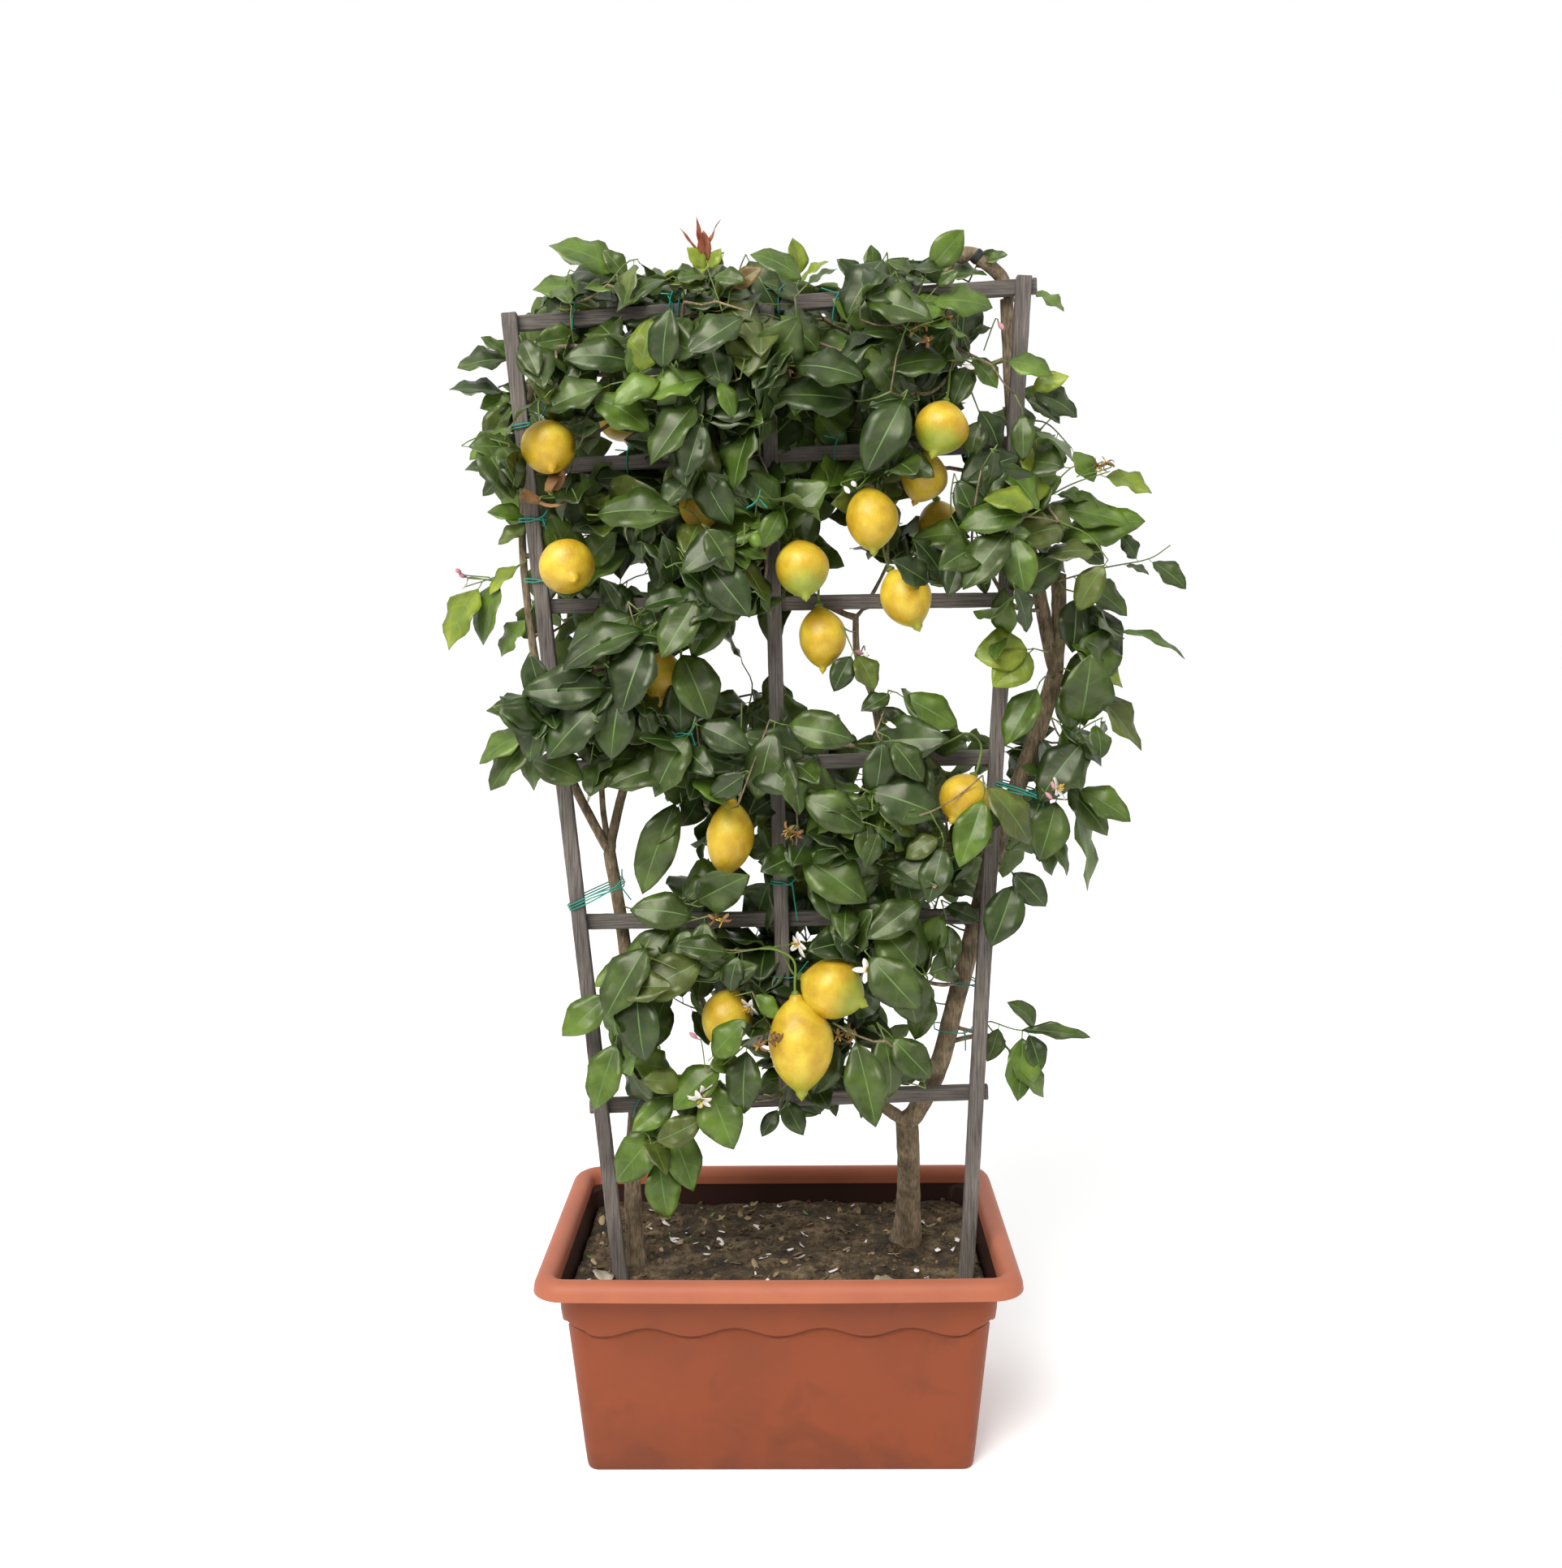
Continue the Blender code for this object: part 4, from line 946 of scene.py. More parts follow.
# %% Shoots that draw the outline
SHOOTS = (  # depth; stem as (x, z); leaves as (share along the stem, x and z of the tip, tint, slimness)
    # top, from left to right
    (-100, ((-150, 1440), (-170, 1468)), ((1, -256, 1506, "fresh"), (0.7, -196, 1495, "mid"),
     (0.3, -218, 1452, "fresh"))),
    (-58, ((-190, 1425), (-205, 1446)), ((1, -278, 1456, "fresh"), (0.9, -214, 1480, "mid"),
     (0.5, -160, 1467, "fresh"), (0.2, -262, 1436, "yellow"))),
    (-58, ((-262, 1400), (-270, 1420)), ((1, -305, 1414, "fresh"), (0.2, -238, 1362, "mid"))),
    (-160, ((-40, 1345), (-52, 1410), (-74, 1478)), ((1, -79, 1516, "red", 0.8),
     (1, -105, 1519, "red", 0.16), (1, -84, 1532, "red", 0.2), (1, -60, 1531, "red", 0.18),
     (0.97, -98, 1496, "yellow"), (0.97, -58, 1496, "yellow"), (0.9, -112, 1462, "mid"),
     (0.9, -30, 1458, "mid"))),
    (-80, ((-90, 1430), (-85, 1455)), ((1, -128, 1468, "yellow"), (0.9, -70, 1500, "yellow"),
     (0.6, -55, 1478, "olive"))),
    (-150, ((-50, 1425), (-47, 1448)), ((1, -10, 1476, "rust"), (0.4, -100, 1432, "deep"))),
    (-140, ((30, 1440), (46, 1456)), ((1, -22, 1492, "fresh"), (0.6, 80, 1470, "mid"))),
    (-20, ((20, 1420), (35, 1460)), ((1, 28, 1506, "yellow"), (0.9, 68, 1480, "yellow"),
     (0.5, -5, 1480, "fresh"))),
    (-60, ((110, 1430), (120, 1455)), ((1, 122, 1498, "mid"), (0.8, 78, 1478, "deep"),
     (0.6, 165, 1480, "mid"))),
    (-130, ((175, 1440), (185, 1466)), ((1, 228, 1512, "fresh"), (0.8, 140, 1474, "mid"))),
    (-60, ((235, 1455), (245, 1476)), ((1, 280, 1484, "fresh"), (0.6, 262, 1492, "mid"))),
    (-50, ((298, 1452), (309, 1446)), ((1, 345, 1416, "fresh"),)),
    (-160, ((150, 1372), (165, 1410), (196, 1448)), ((1, 222, 1468, "mid"), (0.8, 262, 1425, "fresh"),
     (0.3, 110, 1398, "mid"))),
    # left side, downwards
    (-60, ((-290, 1360), (-303, 1374)), ((1, -370, 1360, "mid"), (0.8, -345, 1391, "fresh"))),
    (-60, ((-292, 1320), (-311, 1334)), ((1, -381, 1332, "deep"), (0.6, -347, 1318, "fresh"),
     (0.2, -325, 1300, "mid"))),
    (-60, ((-290, 1300), (-303, 1296)), ((1, -356, 1252, "fresh"),)),
    (-60, ((-296, 1255), (-309, 1248)), ((1, -366, 1243, "deep"), (0.6, -342, 1210, "mid"))),
    (-55, ((-280, 1178), (-292, 1186)), ((1, -341, 1193, "fresh"), (0.3, -326, 1152, "olive"))),
    (-60, ((-296, 1135), (-330, 1118), (-374, 1104)), ((0.1, -345, 1098, "yellow"),
     (0.7, -398, 1032, "yellow"), (0.45, -351, 1036, "fresh"))),
    (-55, ((-288, 1085), (-296, 1070)), ((1, -331, 1020, "fresh"),)),
    (-50, ((-268, 955), (-284, 935)), ((1, -362, 893, "fresh"), (0.9, -344, 856, "mid"),
     (0.6, -300, 858, "mid"), (0.2, -349, 948, "mid"))),
    # right side, downwards
    (-130, ((262, 1360), (275, 1366)), ((1, 333, 1346, "fresh"),)),
    (-50, ((295, 1318), (306, 1328)), ((1, 352, 1347, "yellow"), (0.9, 366, 1303, "deep"),
     (0.5, 342, 1290, "mid"))),
    (-120, ((290, 1325), (299, 1308)), ((1, 304, 1248, "mid"),)),
    (-50, ((305, 1295), (330, 1290), (358, 1262)), ((1, 384, 1222, "fresh"), (0.6, 330, 1226, "mid"))),
    (-125, ((262, 1262), (270, 1250)), ((1, 316, 1190, "fresh"), (0.5, 266, 1200, "deep"))),
    (-60, ((306, 1190), (356, 1218), (404, 1234)), ((0.9, 452, 1206, "yellow"), (0.35, 384, 1200, "fresh"),
     (0.08, 424, 1168, "fresh"))),
    (-70, ((302, 1155), (330, 1150)), ((1, 446, 1174, "fresh"), (0.2, 352, 1115, "mid"))),
    (-150, ((308, 1182), (322, 1190)), ((1, 256, 1208, "yellow"), (0.4, 226, 1170, "fresh"))),
    (-150, ((285, 1178), (290, 1166)), ((1, 302, 1090, "fresh"), (0.4, 236, 1094, "mid"))),
    (-60, ((345, 1105), (400, 1120), (452, 1130), (478, 1146)), ((0.42, 360, 1154, "mid"),
     (0.7, 418, 1158, "mid"), (0.8, 496, 1094, "mid"), (0.55, 452, 1112, "mid"), (0.15, 424, 1062, "mid"))),
    (-60, ((352, 1095), (374, 1089)), ((1, 410, 996, "deep"), (0.7, 362, 1020, "deep"))),
    (-70, ((356, 1060), (410, 1047)), ((1, 502, 1018, "fresh", 0.42),)),
    (-75, ((350, 1035), (362, 1026)), ((1, 422, 978, "yellow"), (0.5, 400, 1010, "fresh"))),
    (-120, ((330, 1020), (316, 1024)), ((1, 246, 1014, "yellow", 1.3), (0.8, 268, 978, "yellow", 1.2))),
    (-115, ((150, 1090), (172, 1098)), ((1, 190, 1040, "deep"), (0.6, 212, 1082, "mid"),
     (0.2, 140, 1052, "olive"))),
    (-120, ((225, 1150), (240, 1140)), ((1, 262, 1092, "mid"), (0.5, 212, 1088, "deep"))),
    (-120, ((85, 1052), (100, 1016)), ((1, 40, 1012, "deep"), (0.9, 72, 976, "deep"),
     (0.9, 126, 978, "olive"))),
    (-70, ((352, 1000), (374, 990)), ((1, 439, 899, "olive"), (0.5, 376, 930, "olive"))),
    (-110, ((330, 990), (324, 984)), ((1, 288, 906, "fresh"),)),
    (-85, ((338, 940), (349, 934)), ((1, 372, 852, "mid"), (0.4, 400, 880, "deep"))),
    (-75, ((318, 870), (365, 856)), ((1, 434, 812, "fresh"), (0.8, 406, 793, "mid"),
     (0.9, 386, 727, "fresh"), (0.2, 300, 880, "mid"))),
    (-80, ((300, 815), (332, 800)), ((1, 366, 748, "fresh"), (0.6, 340, 745, "mid"))),
    (-110, ((285, 760), (296, 742)), ((1, 274, 656, "deep"), (0.4, 332, 705, "deep"))),
    (-60, ((292, 522), (262, 560), (297, 550), (325, 548)), ((1, 293, 590, "mid"),
     (0.75, 388, 538, "mid", 0.35), (0.85, 303, 462, "fresh"), (0.1, 333, 462, "fresh"),
     (0.6, 264, 510, "mid"), (0.9, 330, 498, "deep"))),
    (-110, ((222, 1405), (240, 1365)), ((1, 214, 1312, "mid"), (0.8, 268, 1332, "fresh"),
     (0.2, 186, 1358, "mid"), (0.4, 262, 1402, "deep"))),
    (-105, ((236, 1335), (250, 1300)), ((1, 238, 1252, "mid"), (0.7, 276, 1262, "deep"))),
    (-100, ((205, 715), (212, 690)), ((1, 220, 628, "mid"), (0.5, 180, 640, "fresh"),
     (0.2, 250, 690, "deep"))),
    (-120, ((-118, 865), (-114, 840)), ((1, -146, 786, "mid"), (0.5, -168, 728, "mid"))),
    # the low shoots on the left
    (-130, ((-118, 480), (-146, 425), (-152, 392)), ((0.62, -208, 358, "fresh"), (0.55, -104, 348, "fresh"),
     (1, -144, 305, "fresh"), (0.15, -178, 418, "fresh"), (0.3, -92, 446, "mid"))),
    (-150, ((-10, 560), (-75, 500), (-118, 476)), ((0.55, -130, 450, "fresh"), (0.75, -56, 400, "fresh"),
     (0.25, -46, 444, "mid"), (0.95, -170, 490, "olive"))),
    (-110, ((10, 480), (2, 452)), ((1, -18, 412, "deep"), (0.5, 30, 414, "deep"))),
    (-110, ((-190, 560), (-200, 545)), ((1, -224, 452, "fresh"), (0.2, -158, 498, "fresh"))),
    (-110, ((-176, 640), (-205, 602)), ((1, -262, 542, "fresh"), (0.7, -187, 552, "fresh"),
     (0.1, -228, 612, "fresh"))),
    (-130, ((-70, 700), (-125, 686)), ((0.4, -178, 712, "mid"), (1, -186, 628, "mid"),
     (0.3, -90, 640, "mid"), (0.8, -110, 622, "mid"))),
    (-150, ((-20, 655), (-52, 650)), ((1, -124, 652, "mid"), (0.8, -60, 600, "deep"))),
    (-150, ((-30, 600), (-52, 595)), ((1, -122, 564, "mid"), (0.1, 2, 566, "fresh"))),
    (-160, ((70, 560), (95, 548)), ((1, 129, 434, "mid"), (0.4, 60, 470, "deep"))),
    (-150, ((125, 560), (140, 546)), ((0.4, 150, 462, "mid"), (1, 190, 486, "mid"))),
    # the largest leaves at the front
    (-170, ((-175, 1085), (-160, 1072)), ((1, -250, 1033, "deep"), (0.5, -96, 1090, "deep"))),
    (-185, ((-140, 1060), (-148, 1050)), ((1, -182, 950, "deep"), (0.3, -258, 1012, "deep"))),
    (-170, ((-185, 985), (-196, 978)), ((1, -276, 893, "deep"), (0.6, -302, 975, "deep"),
     (0.2, -200, 895, "deep"))),
    (-160, ((-95, 945), (-100, 930)), ((1, -150, 850, "mid"), (0.6, -32, 902, "deep"))),
    (-150, ((-5, 940), (8, 935)), ((1, 98, 920, "mid"), (0.6, -18, 840, "mid"))),
    (-150, ((125, 925), (140, 918)), ((0.3, 128, 842, "deep"), (1, 180, 862, "mid"))),
    (-120, ((140, 975), (150, 972)), ((1, 222, 925, "fresh"), (0.3, 110, 945, "deep"))),
    (-165, ((255, 870), (258, 850)), ((0.9, 234, 757, "fresh"), (0.4, 312, 782, "olive"))),
    (-160, ((205, 800), (208, 790)), ((1, 196, 712, "deep"), (0.3, 160, 770, "olive"))),
    (-165, ((-150, 1350), (-190, 1342)), ((0.2, -138, 1416, "yellow"), (1, -266, 1310, "mid"),
     (0.5, -148, 1400, "fresh"))),
    (-185, ((-120, 1345), (-128, 1350)), ((1, -122, 1428, "deep"), (0.3, -190, 1324, "fresh"))),
    (-180, ((-60, 1345), (-68, 1352)), ((1, -148, 1324, "fresh"), (0.3, -40, 1302, "fresh"))),
)
print(len(SHOOTS), "named shoots with", sum(len(shoot[2]) for shoot in SHOOTS), "leaves")

# %% [markdown]
# A lemon leaf is a leathery oval with a short point, glossy above and dull below, on a thin green stalk.
# Its midrib is pale and sunk, so the two halves fold up a little, and the margin waves. A few shapes are
# made from one formula, each a closed skin with two sides, and repeated with their own size and turn.

# %% Leaf finishes
VEIN_PAIRS = 7.0
LEAF_DRIFT_MM, TONE_MM = 45, 30
LEAF_SHEEN, LEAF_WAX = (1.0, 0.98, 0.72, 1.0), (0.98, 1.0, 0.78, 1.0)


def leaf_blade(name, base, dark, bright, coat=0.36):
    """The glossy upper side: slow drift of green, and pale side veins slanting off the midrib."""
    finish, tree, shader = new_finish(name, base, 0.42, ior=1.42, Coat_Weight=coat, Coat_Roughness=0.38,
                                      Specular_Tint=LEAF_SHEEN, Coat_Tint=LEAF_WAX)
    where = add_node(tree, "ShaderNodeTexCoord").outputs["Object"]
    drift = add_node(tree, "ShaderNodeTexNoise", {
        "Vector": where, "Scale": 1 / (LEAF_DRIFT_MM * MM), "Detail": 3.0, "Roughness": 0.55})
    tone = add_node(tree, "ShaderNodeValToRGB", {"Fac": drift},
                    stops=[(0.30, dark), (0.50, base), (0.72, bright)])
    spread = add_node(tree, "ShaderNodeUVMap", uv_map="leaf")
    part = add_node(tree, "ShaderNodeSeparateXYZ", {"Vector": spread})
    across = add_node(tree, "ShaderNodeMath", {0: part.outputs["X"], 1: 0.5}, operation="SUBTRACT")
    side = add_node(tree, "ShaderNodeMath", {0: across}, operation="ABSOLUTE")
    slant = add_node(tree, "ShaderNodeMath", {0: side, 1: -0.42, 2: part.outputs["Y"]},
                     operation="MULTIPLY_ADD")
    count = add_node(tree, "ShaderNodeMath", {0: slant, 1: VEIN_PAIRS}, operation="MULTIPLY")
    saw = add_node(tree, "ShaderNodeMath", {0: count, 1: 1.0}, operation="PINGPONG")
    vein = add_node(tree, "ShaderNodeValToRGB", {"Fac": saw}, stops=[(0.0, "#FFFFFF"), (0.16, "#000000")])
    faint = add_node(tree, "ShaderNodeMath", {0: vein, 1: 0.26}, operation="MULTIPLY")
    colour = add_node(tree, "ShaderNodeMix", {"Factor": faint, "A": tone, "B": linear(bright)},
                      data_type="RGBA")
    dress(tree, shader, colour, saw, 0.30, 0.9)
    return finish


def two_toned(name, base, dark, roughness):
    """A soft finish of two tones, for stalks, petals, crumbs and wire."""
    finish, tree, shader = new_finish(name, base, roughness, ior=1.45)
    where = add_node(tree, "ShaderNodeTexCoord").outputs["Object"]
    drift = add_node(tree, "ShaderNodeTexNoise", {
        "Vector": where, "Scale": 1 / (TONE_MM * MM), "Detail": 2.0})
    tone = add_node(tree, "ShaderNodeValToRGB", {"Fac": drift}, stops=[(0.3, dark), (0.7, base)])
    dress(tree, shader, tone)
    return finish


BLADES = {
    "deep": leaf_blade("mature_leaf_deep_green", "#1E300B", "#142207", "#334717"),
    "mid": leaf_blade("mature_leaf_mid_green", "#2D3E0F", "#1F2E09", "#465C1C"),
    "fresh": leaf_blade("leaf_fresh_green", "#405712", "#2D430D", "#5B7522"),
    "olive": leaf_blade("ageing_leaf_olive", "#404A16", "#303910", "#5D6B27"),
    "yellow": leaf_blade("young_leaf_yellow_green", "#69791D", "#516017", "#909B32", coat=0.15),
    "red": leaf_blade("new_shoot_red", "#7A3527", "#5A251D", "#8A552C", coat=0.15),
    "rust": leaf_blade("withering_leaf_brown", "#66512A", "#48371E", "#80702F", coat=0.1),
}
midrib_green = two_toned("leaf_midrib_pale_green", "#5F7A3C", "#4D6830", 0.5)
under_green = two_toned("leaf_underside_dull_green", "#5C6E34", "#475827", 0.62)
stalk_green = two_toned("green_leaf_stalk", "#64782E", "#4E6024", 0.55)
print("leaf greens:", ", ".join(BLADES))

# %% Leaf shapes
LEAF_ROWS = 11
ACROSS = (-1.0, -0.55, -0.034, 0.034, 0.55, 1.0)
STALK = 0.11
LEAF_THICK = 0.0045
LEAF_SHAPES = 14


def leaf_width(t):
    """Half width along the blade: oval, widest below the middle, ending in a short point."""
    return np.sin(np.pi * np.clip(t, 0, 1) ** 0.92) ** 0.86 * (1 - 0.06 * t) * 0.5


def skin_faces(rows, wide):
    """Faces of a two-sided skin over a grid, and the column of each that is on top, or else None."""
    n, faces, columns = rows * wide, [], []
    for row in range(rows - 1):
        for k in range(wide - 1):
            a, b = row * wide + k, (row + 1) * wide + k
            faces += [(a, a + 1, b + 1, b), (n + a, n + b, n + b + 1, n + a + 1)]
            columns += [k, None]
        for a, b in ((row * wide, (row + 1) * wide), ((row + 2) * wide - 1, (row + 1) * wide - 1)):
            faces.append((a, b, n + b, n + a))
            columns.append(None)
    for a in range(wide - 1):
        b = (rows - 1) * wide + a
        faces += [(a, n + a, n + a + 1, a + 1), (b, b + 1, n + b + 1, n + b)]
        columns += [None, None]
    return faces, columns


def leaf_shape(name, width, fold, curl, twist, ripple, phase, sideways):
    """One leaf a unit long, its stalk at the origin, pointing along y with its upper side up."""
    rows = np.linspace(0, 1, LEAF_ROWS)
    step = (1 - STALK) / (LEAF_ROWS - 1)
    spine, pitch = [np.array((0.0, STALK, 0.0))], [0.22 - curl * (t - 0.1) for t in rows]
    for angle in pitch[:-1]:
        spine.append(spine[-1] + step * np.array((0.0, math.cos(angle), math.sin(angle))))
    top, under, uvs = [], [], []
    for t, middle, angle in zip(rows, spine, pitch):
        half = max(width * leaf_width(t), 0.006 if t < 0.5 else 0.0035)
        level = np.array((0, math.cos(angle), math.sin(angle)))
        lift = np.array((0, -math.sin(angle), math.cos(angle)))
        turn = twist * t
        across = math.cos(turn) * np.array((1.0, 0, 0)) + math.sin(turn) * lift
        above = np.cross(across, level)
        middle = middle + np.array((sideways * t * t, 0, 0))
        for u in ACROSS:
            rise = abs(u) * half * math.tan(fold * (1 - 0.35 * t))
            waving = math.sin(2 * math.pi * (2.2 * t + 0.13 * np.sign(u)) + phase)
            rise += ripple * abs(u) ** 1.5 * half * waving
            rise -= 0.30 * half * u * u * math.tan(fold)
            top.append(middle + across * u * half + above * rise)
            under.append(top[-1] - above * LEAF_THICK)
            uvs.append((0.5 + 0.5 * u, t))
    points = top + under
    faces, columns = skin_faces(LEAF_ROWS, len(ACROSS))
    slots = [2 if column is None else int(column == len(ACROSS) // 2 - 1) for column in columns]
    stalk = np.array([(0, 0, 0), (0, STALK * 0.55, -0.006), (0, STALK + 0.02, -0.002)])
    start = len(points)
    for centre, reach in zip(stalk, (0.011, 0.008, 0.008)):
        points += [centre + np.array((dx, 0, dz)) * reach for dx, dz in ((-1, 0), (0, -1), (1, 0), (0, 1))]
    for ring in (0, 4):
        for k in range(4):
            m = (k + 1) % 4
            faces.append((start + ring + k, start + ring + m, start + ring + 4 + m, start + ring + 4 + k))
            slots.append(3)
    faces += [(start + 3, start + 2, start + 1, start), (start + 8, start + 9, start + 10, start + 11)]
    slots += [3, 3]
    uvs = uvs + uvs + [(0.5, 0.0)] * 12
    shape = new_piece(name, points, faces, [BLADES["mid"], midrib_green, under_green, stalk_green], slots)
    layer = shape.data.uv_layers.new(name="leaf")
    layer.data.foreach_set("uv", np.array([uvs[loop.vertex_index] for loop in shape.data.loops]).ravel())
    blade = shape.data.attributes.new("blade", "BOOLEAN", "FACE")
    blade.data.foreach_set("value", np.array(slots) == 0)
    return shape


leaf_shelf = bpy.data.collections.new("leaf_shapes")
shape_rng = np.random.default_rng(5)
for number in range(LEAF_SHAPES):
    curled = number >= LEAF_SHAPES - 3
    shape = leaf_shape(
        f"leaf_shape_{number:02d}", width=shape_rng.uniform(0.50, 0.62), fold=shape_rng.uniform(0.10, 0.42),
        curl=shape_rng.uniform(1.2, 1.9) if curled else shape_rng.uniform(0.15, 0.95),
        twist=shape_rng.uniform(-0.35, 0.35) * (2 if curled else 1), ripple=shape_rng.uniform(0.08, 0.26),
        phase=shape_rng.uniform(0, 6.28), sideways=shape_rng.uniform(-0.07, 0.07))
    bpy.context.scene.collection.objects.unlink(shape)
    leaf_shelf.objects.link(shape)
print(LEAF_SHAPES, "leaf shapes of", sum(len(f.vertices) - 2 for f in shape.data.polygons), "triangles")

# %% [markdown]
# Leaves stand singly, turned from one to the next round the twig, and then twist on their stalks until
# the upper side faces the light: before the trellis that is the front, behind it the back. A leaf that would
# cover a gap, a fruit, or reach out of the crown is turned again and, after a few tries, left out.

# %% Grow the leaves
leaf_rng = np.random.default_rng(23)
LEAVES, TWIGS = [], []
TRIES, DROOP = 7, 0.45
OUT_OF_CROWN, LOWEST_TIP = 0.026, 0.31
NEAREST, HALF_BLADE = -0.219, 0.30  # no blade comes nearer, by its half width as a share of its length
TINTS = {
    "front": (("deep", 0.34), ("mid", 0.38), ("fresh", 0.14), ("olive", 0.12), ("yellow", 0.02)),
    "rear": (("deep", 0.30), ("mid", 0.36), ("fresh", 0.16), ("olive", 0.18)),
    "side": (("deep", 0.12), ("mid", 0.36), ("fresh", 0.34), ("olive", 0.14), ("yellow", 0.04)),
}
DARK_ROOMS = ("waist_left", "upper_middle", "upper_left")


def unit(vector):
    """The vector at length one."""
    return np.asarray(vector, dtype=float) / max(np.linalg.norm(vector), 1e-9)


def add_leaf(base, way, facing, length, tint, width=1.0, free=False, shape=None):
    """Adds a leaf if it has room; way is towards its tip, facing is where its upper side looks."""
    tip = base + way * length
    checks = np.array([base + way * length * share for share in (0.40, 0.72, 1.0)])
    if not free:
        if in_sky(checks).any() or not in_outline(checks[1:]).all() or meets_lemon(checks, 0.003):
            return False
        if depth_in_crown(tip) < -OUT_OF_CROWN or tip[2] < LOWEST_TIP:
            return False
        if hides_showy(checks):
            return False
    elif meets_lemon(checks[:2], 0.0):
        return False
    facing = unit(facing - way * (facing @ way))
    side = np.cross(way, facing)
    if min(base[1], tip[1]) - abs(side[1]) * HALF_BLADE * length * width < NEAREST:
        return False
    turn = Matrix((side, way, facing)).transposed().to_euler()
    shape = leaf_rng.integers(LEAF_SHAPES - 3 * (leaf_rng.random() < 0.93)) if shape is None else shape
    LEAVES.append((base, tuple(turn), length, width, int(shape), tint))
    return True


def facing_of(kind, point):
    """Where leaves of this part of the crown turn their upper side."""
    if kind == "rear" and point[1] > 0.02:
        look_to = np.array((0.15 * np.sign(point[0]), 0.80, 0.65))
    elif kind == "side":
        look_to = np.array((0.35 * np.sign(point[0]), -0.75, 0.62))
    else:
        look_to = np.array((0.0, -0.84, 0.60))
    if point[2] > 1.40:
        look_to = look_to + np.array((0, 0, 0.35))
    return unit(look_to)


def grow_spray(base, way, length, count, size, tint, kind):
    """A twig with leaves set alternately along it and one at its tip."""
    sag = np.array((0, 0, -0.12)) * length
    bend = leaf_rng.normal(0, 0.07, 3) * length
    line, _ = smooth_line([base, base + way * length * 0.5 + bend, base + way * length + sag], 0.011)
    side_sign = leaf_rng.choice((-1, 1))
    reached = 0
    for number in range(count):
        share = 0.12 + 0.88 * number / max(count - 1, 1)
        stop = min(int(share * (len(line) - 1) + 0.5), len(line) - 1)
        spot = line[stop]
        side_sign = -side_sign
        for attempt in range(TRIES):
            facing = unit(facing_of(kind, spot) + leaf_rng.normal(0, 0.40, 3))
            sideways = unit(np.cross(way, facing))
            angle = leaf_rng.normal(0.2, 0.25) if number == count - 1 else leaf_rng.normal(1.0, 0.28)
            angle += leaf_rng.normal(0, 0.25) * attempt
            hang = np.array((0, 0, -DROOP * leaf_rng.uniform(0.4, 1.5)))
            tip_way = (way * math.cos(angle) + sideways * side_sign * math.sin(angle)
                       + hang + facing * leaf_rng.uniform(0.0, 0.35))
            long = size * leaf_rng.uniform(0.74, 1.22) * (1 - 0.045 * attempt)
            if add_leaf(spot, unit(tip_way), facing, long, tint, leaf_rng.uniform(0.86, 1.1)):
                reached = stop
                break
    if reached > 1:
        TWIGS.append(line[: reached + 1])


def pick_tint(kind, node):
    """A tint drawn by its share in this part of the crown; some rooms are darker."""
    names, weights = zip(*TINTS[kind])
    weights = np.array(weights)
    if any(word in node for word in DARK_ROOMS) and kind == "front":
        weights = weights * [2.2 if name == "deep" else 0.6 for name in names]
    return leaf_rng.choice(names, p=weights / weights.sum())


FRUITLET = (-0.020, 1.157, -0.170)  # x, z and depth of a green fruitlet, which must show too
SHOWN = [(FRUITLET[0], FRUITLET[1] + 0.008, FRUITLET[0], FRUITLET[1] - 0.008, FRUITLET[2])]
SHOWY_FRONT, SHOWY_HALF = -0.14, 0.021


def show(base, way, length):
    """Notes a leaf that no later one may cover: its middle and tip as seen, and its depth."""
    seen = seen_at([base + way * length * 0.30, base + way * length * 0.85])
    SHOWN.append((*seen[0], *seen[1], base[1] + way[1] * length / 2))


def hides_showy(points):
    """Whether a leaf with these points would cover something that must show."""
    shown = np.array(SHOWN)
    start, run = shown[:, :2], shown[:, 2:4] - shown[:, :2]
    for point, seen in zip(points, seen_at(points)):
        share = np.clip(((seen - start) * run).sum(axis=1) / (run**2).sum(axis=1), 0, 1)
        near = np.linalg.norm(start + run * share[:, None] - seen, axis=1) < SHOWY_HALF
        if (near & (point[1] < shown[:, 4] + 0.002)).any():
            return True
    return False


for number, (depth, stem, tips) in enumerate(SHOOTS):
    depth = depth / 1000
    line, _ = smooth_line([at_depth(x / 1000, z / 1000, depth) for x, z in stem], 0.006)
    last = join_wood(line[0], 0.05)
    spray_wood[f"shoot_{number}"] = last
    TWIGS.append(line)
    for share, x, z, tint, *slim in tips:
        base = line[min(int(share * (len(line) - 1) + 0.5), len(line) - 1)]
        tip = at_depth(x / 1000, z / 1000, depth - leaf_rng.uniform(0.0, 0.018))
        length, way = np.linalg.norm(tip - base), unit(tip - base)
        kind = "front" if depth < -0.095 else "side"
        facing = facing_of(kind, base) * (1.0, 1.0, 1.0 if way[2] < 0.5 else 0.2)
        facing = facing + leaf_rng.normal(0, 0.14, 3)
        narrow = slim[0] if slim else min(1.0, 0.088 / length) * leaf_rng.uniform(0.92, 1.08)
        add_leaf(base, way, facing, length * 1.04, tint, narrow, free=True)
        if depth < SHOWY_FRONT:
            show(base, way, length)
print(len(LEAVES), "leaves on the named shoots")

# %% Large leaves on the outside of the crown
SHOWY_STEP, SHOWY_LENGTH = (0.066, 0.060), (0.084, 0.112)
UNCURLED = 8  # the first so many leaf shapes lie flattest


